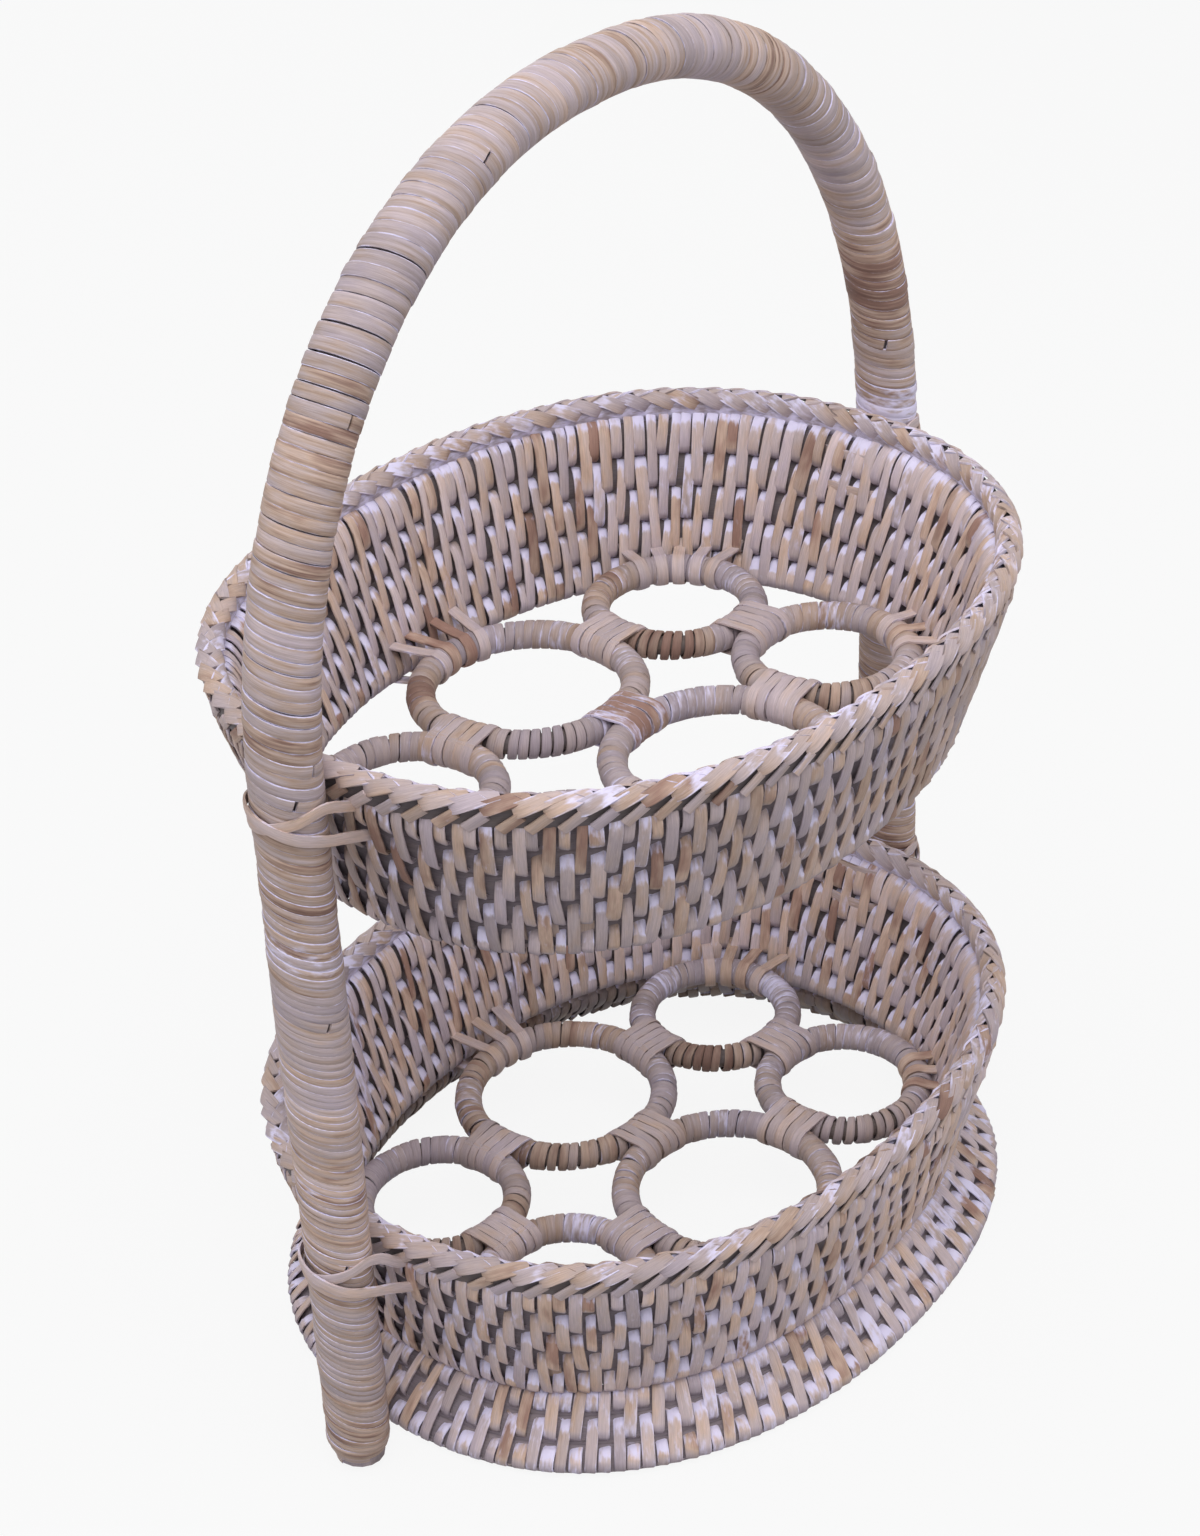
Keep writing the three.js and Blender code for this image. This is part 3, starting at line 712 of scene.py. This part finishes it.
def cane_material(name, groove_wash, wash_level, fibre_depth, roughness, streaks=0.0):
    """Cane washed white and rubbed back: fibres, patches, streaks, residue, and painted shade in its
    grooves.
    """
    material = bpy.data.materials.new(name)
    nodes = Nodes(material)
    grain = nodes.add("ShaderNodeAttribute", {}, "Vector", attribute_name="grain")
    tone = nodes.add("ShaderNodeAttribute", {}, "Vector", attribute_name="tone")
    edge = tone.node.outputs["Alpha"]
    hue, light, wash = nodes.add("ShaderNodeSeparateXYZ", {0: tone}).node.outputs
    fibre = nodes.noise(grain, *FIBRES)
    thread = nodes.noise(grain, *THREADS)
    patch = nodes.noise(grain, *PATCHES)
    bands = nodes.swing(nodes.noise(grain, *BANDS), streaks)

    shade = nodes.math("ADD", hue, nodes.swing(patch, PATCH_HUE))
    color = nodes.add("ShaderNodeValToRGB", {0: nodes.math("ADD", shade, bands)})
    stops = color.node.color_ramp.elements
    for stop, (position, stop_color) in zip(list(stops), (HUES[0], HUES[-1])):
        stop.position = position
        stop.color = stop_color
    for position, stop_color in HUES[1:-1]:
        stops.new(position).color = stop_color

    coarse = nodes.math("MULTIPLY_ADD", fibre, *FIBRE_LIGHT)
    fine = nodes.math("MULTIPLY_ADD", thread, *THREAD_LIGHT)
    level = nodes.math("MULTIPLY", nodes.math("MULTIPLY", coarse, fine), light)
    level = nodes.math("MULTIPLY", level, nodes.math("SUBTRACT", 1.0, bands))
    grey = nodes.add("ShaderNodeCombineColor", dict.fromkeys(range(3), level))
    color = nodes.mix(1.0, color, grey, "MULTIPLY")

    spread = nodes.swing(nodes.noise(grain, *RESIDUE), RESIDUE_SPREAD)
    amount = nodes.math("ADD", wash, nodes.math("ADD", spread, wash_level))
    at_edge = nodes.math("MULTIPLY", nodes.ramp(edge, *WASHED_EDGE), groove_wash)
    washed = nodes.ramp(nodes.math("ADD", amount, at_edge), *WASHED)
    color = nodes.mix(nodes.math("MULTIPLY", washed, WASH_COVER), color, WASH)
    # Painted shade: strip edges are darkened in patches, as the shade in the grooves between strips
    crease_shade = nodes.math("MULTIPLY", nodes.ramp(edge, *SHADED_EDGE), nodes.ramp(patch, *SHADE_PATCH))
    color = nodes.mix(nodes.math("MULTIPLY", crease_shade, CREASE_SHADE_COVER), color, CREASE_SHADE)

    relief = nodes.math("ADD", fibre, nodes.math("MULTIPLY", thread, THREAD_HEIGHT))
    bump = {"Strength": fibre_depth, "Distance": FIBRE_HEIGHT * MM, "Height": relief}
    shader = nodes.add("ShaderNodeBsdfPrincipled", {
        "Base Color": color,
        "Roughness": nodes.math("MULTIPLY_ADD", fibre, GLOSS_SPREAD, roughness - GLOSS_SPREAD / 2),
        "Normal": nodes.add("ShaderNodeBump", bump),
        "Specular IOR Level": SPECULAR,
    })
    nodes.end("ShaderNodeOutputMaterial", shader)
    return material


handle_cane = cane_material("handle_cane", 0.8, 0.07, 0.5, 0.62, streaks=0.9)
weave_cane = cane_material("weave_cane", 0.2, 0.0, 0.6, 0.66)
rim_cane = cane_material("rim_cane", 0.25, 0.12, 0.6, 0.64)
ring_cane = cane_material("ring_cane", 0.3, 0.08, 0.6, 0.66)
tie_cane = cane_material("tie_cane", 0.3, 0.02, 0.6, 0.64)
reed = cane_material("reed", 0.0, 0.05, 0.9, 0.8)


def tones(count, tone, rows=1, hue=0, wash=0):
    """Random tones for strips of so many rows, from means and spreads, with more hue or wash."""
    tone = stack(*(random.normal(mean, spread, (count, 1)) for mean, spread in tone))
    return np.repeat(tone, rows, axis=1) + (hue, 0, wash)


# Walls

def weave_row(strips, wall, columns, bottom, top, trim, pale):
    """Strips of one row of columns, each a loop round its rods, between two distances up the wall."""
    look = wall.look
    up, away, out_up, out_away = stitch(bottom, top, look.depth, trim)
    outside = away > 0
    count = len(columns)
    shift = random.normal(0, SHIFT_SPREAD, (count, 1))
    lean = STRIP_LEAN + random.normal(0, LEAN_SPREAD, (count, 1))
    lift = np.abs(random.normal(0, LIFT_SPREAD, (count, 1)))
    tilt = STRIP_TILT * np.abs(out_away)[:, None] + random.normal(0, TILT_SPREAD, (count, 1, 1))
    angles = wall.angles_at(columns / look.columns)[:, None]
    heights = wall.first.height + up / wall.stretch
    around, slope, normal = wall.frame(angles, heights)
    sideways = shift + lean * (up - (bottom + top) / 2) * np.sign(away)
    path = wall.point(angles, heights) + normal * (away + lift * out_away)[..., None]
    path += around * sideways[..., None]
    out = slope * out_up[:, None] + normal * out_away[:, None]
    out = unit(out + around * tilt)

    tone = tones(count, STRIP_TONE, len(up), wash=look.wash)
    brown = random.uniform(size=count) < BROWN_SHARE
    tone[brown, :, 0] += BROWN_HUE
    pale_end = smooth_step(up - (top - np.where(outside, trim[1], 0)), *PALE_END)
    pale_end = pale * pale_end * random.uniform(*PALE_RANGE, (count, 1))
    tone[..., 2] += pale_end * np.where(outside, OUTER_PALE, 1.0)
    # Painted shade: each strip's lower end is made greyer and darker
    lower_end_shade = smooth_step(bottom + np.where(outside, trim[0], 0) - up, *LOWER_END_SHADE)
    # Painted light and shade: each face of a wall is made lighter or darker as a whole, and a darkened
    # inner face loses wash
    inner_painted_light, outer_painted_light = look.faces
    tone[..., 0] -= LOWER_SHADE_HUE * lower_end_shade
    tone[..., 1] *= (1 - LOWER_SHADE_AMOUNT * lower_end_shade) * np.where(outside, outer_painted_light, inner_painted_light)
    tone[..., 2] -= np.where(outside, 0, SHADED_FACE_WASH_CUT * max(0, 1 - inner_painted_light))
    pitch = wall.run[-1] / look.columns
    width = pitch * STRIP_COVER / STRIP_WIDTH * (1 + random.normal(0, WIDTH_SPREAD, (count, 1)))
    strips.add(path, out, section_of(CROWNED, STRIP_WIDTH), tone, closed=True, width=width)


def tabs(strips, wall, columns, top):
    """Short slanting ends that go from the wall's short strips to the plait."""
    share = np.linspace(0, 1, TAB_STEPS)
    up = top + between(TAB_UP, share)
    shift = random.normal(0, TAB_SPREAD, (len(columns), 1))
    place = columns[:, None] + between(TAB_AROUND, share) + shift
    angles = wall.angles_at(place / wall.look.columns)
    heights = wall.first.height + up / wall.stretch + 0 * angles
    _, _, normal = wall.frame(angles, heights)
    away = wall.look.depth + between(TAB_OUT, share)
    path = wall.point(angles, heights) + normal * away[..., None]
    section = section_of(CROWNED, TAB_WIDTH)
    strips.add(path, normal, section, tones(len(columns), TAB_TONE))


def weave(wall, top):
    """Every strip of a wall: each goes round two rods, apart from those at the wall's edges.

    top is how far the highest go above the top rod. Where they reach a rim, they have tabs.
    """
    strips = Strips()
    last = len(wall.rods) - 1
    pitch = 2 * wall.half_pitch
    edge = wall.half_pitch - STRIP_GAP
    for row in range(last + 2):
        columns = np.arange(row % 2, wall.look.columns, 2)
        low_rod = max(row - 1, 0)
        high_rod = min(row, last)
        lower_end = low_rod * pitch - edge
        upper_end = high_rod * pitch + edge
        trim = np.array(wall.look.trim)
        pale = 1.0
        if low_rod == 0:
            lower_end = -min(edge, LOWEST_EDGE)
            trim[0] = 0
        if high_rod == last:
            upper_end = last * pitch + top
            trim[1] = 0
            pale = TOP_PALE
        weave_row(strips, wall, columns, lower_end, upper_end, trim, pale)
    if top > wall.half_pitch:
        tabs(strips, wall, columns, upper_end)
    strips.build(f"{wall.name}_stitches", weave_cane, "wall_strips", f"{wall.name}_weave")


def reeds(wall):
    """Reeds that fill the wall between its two faces of strips."""
    look = wall.look
    angles = wall.angles_at(np.arange(ROD_STEPS) / ROD_STEPS)
    above = wall.half_pitch * REED_OVERLAP
    for number, rod in enumerate(wall.rods, 1):
        strips = Strips()
        below = min(wall.half_pitch, LOWEST_REED) if number == 1 else above
        height = np.full(ROD_STEPS, rod.height + (above - below) / 2 / wall.stretch)
        path = wall.point(angles, height)
        _, _, normal = wall.frame(angles, height)
        section = rounded((below + above) / 2, REED_SHARE * look.depth, REED_SIDES)
        # Painted shade: the inner half of each reed takes a darker tone than its outer half
        tone = np.where(section[:, 1:] > 0, look.reed, REED_INNER_SHADE)
        strips.add(path[None], normal[None], section, tone[None, None], closed=True, block=MAP_BLOCK)
        strips.build(f"{wall.name}_reed_{number}", reed, "rods", f"{wall.name}_rod_{number}")


def plait_side(strips, wall, line, turns, lifts, reach, wash):
    """Flat strands on one side of a border, each with its start over the strand before it."""
    count = wall.look.columns // 2
    share = np.linspace(0, 1, PLAIT_STEPS)
    first = np.arange(count)[:, None] + random.normal(0, PLAIT_SHIFT_SPREAD, (count, 1))
    angles = wall.angles_at((first + reach * share) / count)
    height = np.full(angles.shape, line.height)
    normal = wall.plan_normal(angles, height)
    turn = between(turns, share) + random.normal(0, PLAIT_TURN_SPREAD, (count, 1))
    turn = np.radians(turn)[..., None]
    out = normal * np.sin(turn) + UP * np.cos(turn)
    radius = PLAIT_CORE + between(lifts, share) + random.normal(0, PLAIT_LIFT_SPREAD, (count, 1))
    radius = radius - PLAIT_TUCK * (1 - smooth_step(share, 0, TUCK_SHARE))
    path = wall.point(angles, height) + out * radius[..., None]
    tone = tones(count, PLAIT_TONE, PLAIT_STEPS, wash=wash)
    end_wash = END_WASH * random.uniform(*END_RANGE, (count, 1))
    tone[..., 2] += end_wash * smooth_step(share, *PLAIT_END)
    width = 1 + random.normal(0, PLAIT_WIDTH_SPREAD, (count, 1))
    strips.add(path, out, section_of(FLAT, PLAIT_WIDTH), tone, width=width)


def rim(node, wall):
    """A border of flat strands, laid over each other from both sides of a core, chalky inside and
    painted dark outside as shade.
    """
    line = Oval(node, RIM_RADIUS)
    strips = Strips()
    angles = wall.angles_at(np.arange(RIM_STEPS) / RIM_STEPS)
    height = np.full(RIM_STEPS, line.height - PLAIT_SINK)
    normal = wall.plan_normal(angles, height)
    # Painted shade: the outer hoop is dark, the inner one chalky
    for side, thick, tone in PLAIT_CORES:
        section = rounded(PLAIT_CORE + PLAIT_SINK, thick * PLAIT_CORE, REED_SIDES)
        hoop = wall.point(angles, height) + normal * (side * PLAIT_CORE)
        strips.add(hoop[None], normal[None], section, [tone], closed=True, block=MAP_BLOCK)
    for side in PLAIT_SIDES:
        plait_side(strips, wall, line, *side)
    strips.build(f"{node}_plait", rim_cane, "rim_plait", node)


# Rings and what ties them

class Ring:
    """An egg ring's centre and the radius of its hoop."""

    def __init__(self, node):
        low, high = node_box(node)
        self.centre = (low + high) / 2
        self.radius = (high[0] - low[0]) / 2 - RING_RADIUS + RING_OUTSET


def ring_plan(angle):
    return stack(np.cos(angle), np.sin(angle), 0)


def wound_ring(node, ring):
    """A hoop and the strip wound round it."""
    strips = Strips()
    turns = round(math.tau * ring.radius / RING_PITCH)
    steps = RING_STEPS
    count = turns * steps
    share = np.arange(count) / count
    front = (CAMERA_AZIMUTH - 90 + random.normal(0, LOOSE_SPREAD)) / 360
    loose = 0.5 + 0.5 * np.cos(math.tau * (share - front))
    loose = smooth_step(loose, *LOOSE_PART) * random.uniform(*LOOSE_RANGE)
    wobble = wander(count, steps, *RING_WOBBLE)
    wobble *= np.minimum(1, np.minimum(share, 1 - share) * turns / 2)
    angle = math.tau * share + wobble * RING_PITCH / ring.radius
    around_tube = math.tau * share * turns
    bulge = wander(count, steps, *RING_BULGE) * np.minimum(1, (1 - share) * turns)
    tube = RING_RADIUS + RING_SWELL - WIND_THICKNESS + bulge
    plan = ring_plan(angle)
    out = plan * np.cos(around_tube)[:, None] + UP * np.sin(around_tube)[:, None]
    path = ring.centre + plan * ring.radius + out * tube[:, None]
    pitch = math.tau * (ring.radius + TUBE_SHARE * tube * np.cos(around_tube)) / turns
    width = pitch * (RING_COVER - LOOSE_GAP * loose) / RING_PITCH
    hue = wander(count, steps, *RING_HUE) + LOOSE_HUE * loose
    light = wander(count, steps, *RING_LIGHT)
    wash = wander(count, steps, *RING_WASH) + LOOSE_WASH * loose
    tone = stack(hue, light, wash)
    section = section_of(CROWNED, RING_PITCH, WIND_THICKNESS)
    strips.add(path[None], out[None], section, tone[None], closed=True, width=width, block=steps)
    plan = ring_plan(np.arange(HOOP_STEPS) / HOOP_STEPS * math.tau)
    path = ring.centre + plan * ring.radius
    core_radius = RING_RADIUS - WIND_THICKNESS
    core = rounded(core_radius, core_radius, RING_CORE_SIDES)
    strips.add(path[None], plan[None], core, [RING_CORE_TONE], closed=True, block=HOOP_BLOCK)
    strips.build(f"{node}_cane", ring_cane, "ring_cane", node)


def ring_tie(node, first, second):
    """Flat strips side by side round two rings where they touch."""
    strips = Strips()
    across = unit(second.centre - first.centre)
    along = np.array([-across[1], across[0], 0])
    apart = np.linalg.norm(second.centre - first.centre)
    half = (apart - first.radius - second.radius) / 2
    touch = first.centre + across * (first.radius + half)
    section = section_of(FLAT, TIE_WIDTH)
    tone = tones(TIE_STRIPS, BROWN_TIE_TONE if node == BROWN_TIE else TIE_TONE)
    loop = RING_RADIUS + RING_SWELL + TIE_GAP
    for strip in range(TIE_STRIPS):
        offset = (strip - (TIE_STRIPS - 1) / 2) * TIE_PITCH
        bow = [ring.radius - math.sqrt(ring.radius ** 2 - offset ** 2) for ring in (first, second)]
        out, away, out_across, out_up = belt(-half - bow[0], half + bow[1], loop)
        slant = random.normal(0, SLANT_SPREAD) + TIE_SLANT
        path = touch + across * out[:, None] + UP * away[:, None]
        path += along * (offset + slant * out)[:, None]
        way = across * out_across[:, None] + UP * out_up[:, None]
        strips.add(path[None], way[None], section, tone[strip], closed=True)
    strips.build(f"{node}_cane", tie_cane, "tie_cane", node)


def wall_distance(wall, start, direction, height):
    """How far the wall's middle is from a point, going that way at that height."""
    line = wall.point(wall.run_angles, np.full(len(wall.run_angles), height)) - start
    ahead = line[:, 0] * direction[0] + line[:, 1] * direction[1]
    aside = np.abs(line[:, 0] * direction[1] - line[:, 1] * direction[0])
    return ahead[np.argmin(np.where(ahead > 0, aside, np.inf))]


def wall_tie(node, wall, ring, swing, hues):
    """Strips, one for each hue, that fan out from a ring and go round the wall's lowest rod."""
    strips = Strips()
    low, high = node_box(node)
    toward = unit(((low + high) / 2 - ring.centre) * (1, 1, 0))
    aside = np.array([-toward[1], toward[0], 0])
    level = ring.centre[2]
    lowest = wall.rods[0].height - level
    slot = wall.rods[1].height - SLOT_BELOW_ROD - level
    loop = RING_RADIUS + RING_SWELL + WALL_TIE_GAP
    for strip, hue in enumerate(hues):
        turn = (strip - (len(hues) - 1) / 2) * WALL_TIE_PITCH / ring.radius
        turn += math.radians(swing) + random.normal(0, FAN_SPREAD)
        direction = toward * math.cos(turn) + aside * math.sin(turn)
        at_bottom = wall_distance(wall, ring.centre, direction, lowest + level)
        at_slot = wall_distance(wall, ring.centre, direction, slot + level)
        corners = [(at_slot - WALL_DEPTH - INSIDE_SLOT[0], slot - INSIDE_SLOT[1])]
        for angle in np.radians(ROUND_RING):
            corners.append((ring.radius + loop * math.cos(angle), loop * math.sin(angle)))
        corners += [(at_bottom + out, lowest + up) for out, up in UNDER_ROD]
        corners += [(at_slot + out, slot + up) for out, up in IN_SLOT]
        line = smooth_loop(corners, WALL_TIE_STEPS)
        normal = loop_normals(line)
        path = ring.centre + direction * line[:, :1] + UP * line[:, 1:]
        out = direction * normal[:, :1] + UP * normal[:, 1:]
        section = section_of(FLAT, WALL_TIE_WIDTH)
        strips.add(path[None], out[None], section, tones(1, WALL_TIE_TONE, hue=hue), closed=True)
    strips.build(f"{node}_cane", tie_cane, "tie_cane", node)


def lashing(node, wall, handle, sign, above_rod, rises, strands):
    """Flat strands that cross on a leg and go through the wall on both sides of it."""
    strips = Strips()
    top_rod = wall.rods[-1].height
    middle = top_rod + above_rod
    ceiling = top_rod + LASH_CEILING
    leg_x, share = handle.leg_at(middle)
    swell = at_share(HANDLE_SWELL, share if sign < 0 else 1 - share)
    leg_rise = rises[sign > 0]
    for strand, (way, shift) in enumerate(strands):
        reach = LEG_RADIUS + swell + TIE_GAP + LASH_LAYER * strand
        in_wall = min(middle + shift + LASH_LIMITS[1] * way * LASH_SLANT, ceiling)
        inside = leg_x - wall.long_half(in_wall) + LASH_DEPTH * WALL_DEPTH
        corners = [(across * reach, along * reach) for across, along in ROUND_LEG]
        corners += [(across * inside, along * reach) for across, along in INTO_WALL]
        line = smooth_loop(corners, LASH_STEPS)
        normal = loop_normals(line)
        rise = (line[:, 0] * LASH_INWARD - line[:, 1] * LASH_FORWARD) / reach
        lift = leg_rise * (1 - smooth_step(line[:, 0], 0, inside))
        height = middle + shift + lift + way * LASH_SLANT * np.clip(rise, *LASH_LIMITS)
        bend = smooth_step(line[:, 0], LASH_BEND * inside, inside)
        height = height - bend * np.maximum(height - ceiling, 0)
        path = stack(sign * (leg_x - line[:, 0]), line[:, 1], height)
        out = stack(-sign * normal[:, 0], normal[:, 1], 0)
        section = section_of(FLAT, LASH_WIDTH)
        strips.add(path[None], out[None], section, tones(1, LASH_TONE), closed=True)
    strips.build(f"{node}_cane", tie_cane, "tie_cane", node)


# Handle

class Handle:
    """Middle line of the handle, measured from the foot of its left leg."""

    def __init__(self):
        rim_line = Oval("upper_rim", RIM_RADIUS)
        self.spring = rim_line.height - SPRING_BELOW_RIM
        self.rise = HANDLE_HEIGHT - GRIP_RADIUS - self.spring
        share = (SPRING_BELOW_RIM / self.rise) ** HANDLE_POWER
        beside_rim = rim_line.long + RIM_RADIUS + LEG_GAP + LEG_RADIUS
        spring_x = beside_rim / (1 - share) ** (1 / HANDLE_POWER)
        foot_x = node_box("handle_core")[1][0] - CORE_RADIUS
        lean = (foot_x - spring_x) / self.spring
        angle = np.linspace(0, math.pi, ARCH_STEPS + 1)
        arch_x, arch_z = oval(angle, 2 / HANDLE_POWER)
        leg_z = np.linspace(0, self.spring, LEG_STEPS, endpoint=False)
        leg_x = spring_x + lean * (self.spring - leg_z)
        self.x = np.concatenate([-leg_x, -spring_x * arch_x, leg_x[::-1]])
        self.z = np.concatenate([leg_z, self.spring + self.rise * arch_z, leg_z[::-1]])
        steps = np.hypot(np.diff(self.x), np.diff(self.z))
        self.run = np.concatenate([[0], np.cumsum(steps)])
        self.length = self.run[-1]

    def leg_at(self, height):
        """How far out a leg is at a height, and what share of the handle is below it."""
        leg = slice(LEG_STEPS)
        out = np.interp(height, self.z[leg], -self.x[leg])
        return out, np.interp(height, self.z[leg], self.run[leg]) / self.length

    def centre(self, distance):
        x = np.interp(distance, self.run, self.x)
        z = np.interp(distance, self.run, self.z)
        return stack(x, 0, z)

    def frame(self, distance):
        """Middle point, way out of the arch, and radius."""
        centre = self.centre(distance)
        ahead = unit(self.centre(distance + TANGENT_REACH) - self.centre(distance - TANGENT_REACH))
        outward = stack(-ahead[..., 2], 0, ahead[..., 0])
        rise = np.clip((centre[..., 2] - self.spring) / self.rise, 0, 1)
        radius = LEG_RADIUS - (LEG_RADIUS - GRIP_RADIUS) * rise ** TAPER_POWER
        return centre, outward, radius


def handle_winding(handle):
    """One long strip wound from foot to foot, joined at each splice."""
    strips = Strips()
    steps = WIND_STEPS
    start, end = WIND_MARGIN, handle.length - WIND_MARGIN
    fine = np.linspace(start, end, WIND_SAMPLES)
    pitch = at_share(WIND_PITCHES, fine / handle.length)
    turns = np.concatenate([[0], np.cumsum(np.diff(fine) / pitch[1:])])
    count = int(turns[-1] * steps)
    turn = np.arange(count) / steps
    distance = np.interp(turn, turns, fine)
    share = distance / handle.length
    pitch = at_share(WIND_PITCHES, share)
    angle = math.tau * turn
    places, inner, front = np.array(WIND_LEANS).T
    inner = np.interp(share, places, inner)
    front = np.interp(share, places, front)
    _, _, radius = handle.frame(distance)
    lead = radius * (-inner * np.cos(angle) - front * np.sin(angle))
    near_end = np.minimum(1, np.minimum(distance - start, end - distance) / LEAD_FADE)
    distance = distance + lead * near_end + wander(count, steps, *WIND_SHIFT)
    centre, outward, radius = handle.frame(distance)
    backward = np.array([0.0, 1.0, 0.0])
    out = outward * np.cos(angle)[:, None] + backward * np.sin(angle)[:, None]
    lift = wander(count, steps, *WIND_LIFT)
    share = distance / handle.length
    swell = at_share(HANDLE_SWELL, share)
    to_foot = np.minimum(distance - start, end - distance)
    taper = FOOT_TAPER * (1 - smooth_step(to_foot, *FOOT_TAPER_END))
    path = centre + out * (radius - WIND_THICKNESS + swell - taper + lift)[:, None]
    width = pitch * wander(count, steps, *WIND_COVER) / WIND_WIDTH
    hue = wander(count, steps, *WIND_HUE)
    light = wander(count, steps, *WIND_LIGHT)
    wash = wander(count, steps, *WIND_WASH)
    above_rim = handle.length - distance - handle.run[LEG_STEPS] - SPRING_BELOW_RIM
    wash += RIM_WASH * (1 - smooth_step(np.abs(above_rim - RIM_WASH_PLACE), *RIM_WASH_FADE))
    wash += at_share(WIND_WASHES, share)
    rows = np.column_stack([path, out, width, hue, light, wash])

    section = section_of(WOUND, WIND_WIDTH, WIND_THICKNESS)
    cuts = [0.0]
    for place, degrees in SPLICES:
        at_place = np.interp(place, fine, turns)
        cuts.append((math.floor(at_place) + degrees / 360) * steps)
    cuts.append(count - 1.0)
    for first, last in zip(cuts[:-1], cuts[1:]):
        index = np.arange(math.ceil(first + 0.5), math.floor(last - 0.5) + 1)
        index = np.concatenate([[first + SPLICE_GAP], index, [last - SPLICE_GAP]])
        piece = stack(*(np.interp(index, np.arange(count), column) for column in rows.T))
        step = np.arange(len(index))
        raised = SPLICE_LIFT * np.clip(1 - np.minimum(step, step[::-1]) / SPLICE_STEPS, 0, 1)
        out = piece[:, 3:6]
        line = piece[:, :3] + out * raised[:, None]
        tone = piece[None, :, 7:] + [*random.normal(0, SPLICE_SPREADS), 0]
        strips.add(line[None], out[None], section, tone, width=piece[:, 6], block=steps)
    strips.build("handle_winding", handle_cane, "handle_cane", "handle_wrap")


def handle_pole(handle):
    strips = Strips()
    distance = np.linspace(POLE_MARGIN, handle.length - POLE_MARGIN, POLE_STEPS)
    centre, outward, radius = handle.frame(distance)
    section = rounded(CORE_RADIUS, CORE_RADIUS, POLE_SIDES)
    scale = (radius - WIND_THICKNESS - POLE_GAP) / CORE_RADIUS
    strips.add(centre[None], outward[None], section, [POLE_TONE], width=scale, block=MAP_BLOCK)
    strips.build("handle_pole", reed, "handle_pole", "handle_core")


# Stage

def place_object(name, data, right, up, back, place):
    """Adds a camera or lamp with its right, top and back facing those ways."""
    turn = Matrix((right, up, back)).transposed()
    thing = add_object(name, data)
    thing.matrix_world = Matrix.Translation(place) @ turn.to_4x4()
    return thing


def look_at_basket():
    azimuth = math.radians(CAMERA_AZIMUTH)
    elevation = math.radians(CAMERA_ELEVATION)
    roll = math.radians(CAMERA_ROLL)
    level = math.cos(elevation)
    back = np.array([math.sin(azimuth) * level, -math.cos(azimuth) * level, math.sin(elevation)])
    right = unit(np.cross(-back, UP))
    up = np.cross(right, -back)
    side = right * math.cos(roll) + up * math.sin(roll)
    top = up * math.cos(roll) - right * math.sin(roll)
    data = bpy.data.cameras.new("camera")
    data.sensor_width = SENSOR
    data.lens = FOCAL_PIXELS / IMAGE_HEIGHT * SENSOR
    data.clip_start = CAMERA_CLIP * MM
    place = (np.array(CAMERA_TARGET) + CAMERA_DISTANCE * back) * MM
    scene.camera = place_object("camera", data, side, top, back, place)


def floor():
    """Paper that the camera sees as nearly white."""
    data = bpy.data.meshes.new("floor")
    corners = [(FLOOR_HALF * x, FLOOR_HALF * y, 0) for x, y in ((-1, -1), (1, -1), (1, 1), (-1, 1))]
    data.from_pydata(corners, [], [(0, 1, 2, 3)])
    material = bpy.data.materials.new("floor_paper")
    nodes = Nodes(material)
    paper = nodes.add("ShaderNodeBsdfDiffuse", {"Color": FLOOR_GREY})
    white = nodes.add("ShaderNodeEmission", {})
    nodes.end("ShaderNodeOutputMaterial", nodes.lit_or_seen(paper, white, FLOOR_WHITE))
    data.materials.append(material)
    plane = add_object("floor", data)


def studio():
    """A white backdrop, soft light from all round, and the lamps."""
    world = bpy.data.worlds.new("studio")
    scene.world = world
    nodes = Nodes(world)
    soft = nodes.add("ShaderNodeBackground", {"Color": SOFT_LIGHT, "Strength": SOFT_STRENGTH})
    white = nodes.add("ShaderNodeBackground", {"Color": BACKDROP})
    nodes.end("ShaderNodeOutputWorld", nodes.lit_or_seen(soft, white, 1.0))
    for name, (place, aim, width, power) in LAMPS.items():
        data = bpy.data.lights.new(name, "AREA")
        data.shape = "DISK"
        data.size = width
        data.energy = power
        back = unit(np.array(place) - UP * aim)
        right = unit(np.cross(UP, back))
        place_object(name, data, right, np.cross(back, right), back, place)


scene.view_settings.view_transform = "Standard"
look_at_basket()
floor()
studio()

handle = Handle()
handle_winding(handle)
handle_pole(handle)

foot = Wall("foot")
weave(foot, foot.half_pitch)
reeds(foot)
for tray in ("upper", "lower"):
    wall = Wall(f"{tray}_wall")
    weave(wall, TOP_REACH)
    reeds(wall)
    rim(f"{tray}_rim", wall)
    rings = {}
    for place in RING_PLACES:
        node = f"{tray}_ring_{place}"
        rings[place] = Ring(node)
        wound_ring(node, rings[place])
    for first, second in TIED:
        ring_tie(f"{tray}_ring_tie_{first}_to_{second}", rings[first], rings[second])
    for place, swing, hues in WALL_TIES[tray]:
        wall_tie(f"{tray}_wall_tie_{place}", wall, rings[place], swing, hues)
    for side, sign in (("left", -1), ("right", 1)):
        lashing(f"{tray}_lashing_{side}", wall, handle, sign, *LASHINGS[tray])
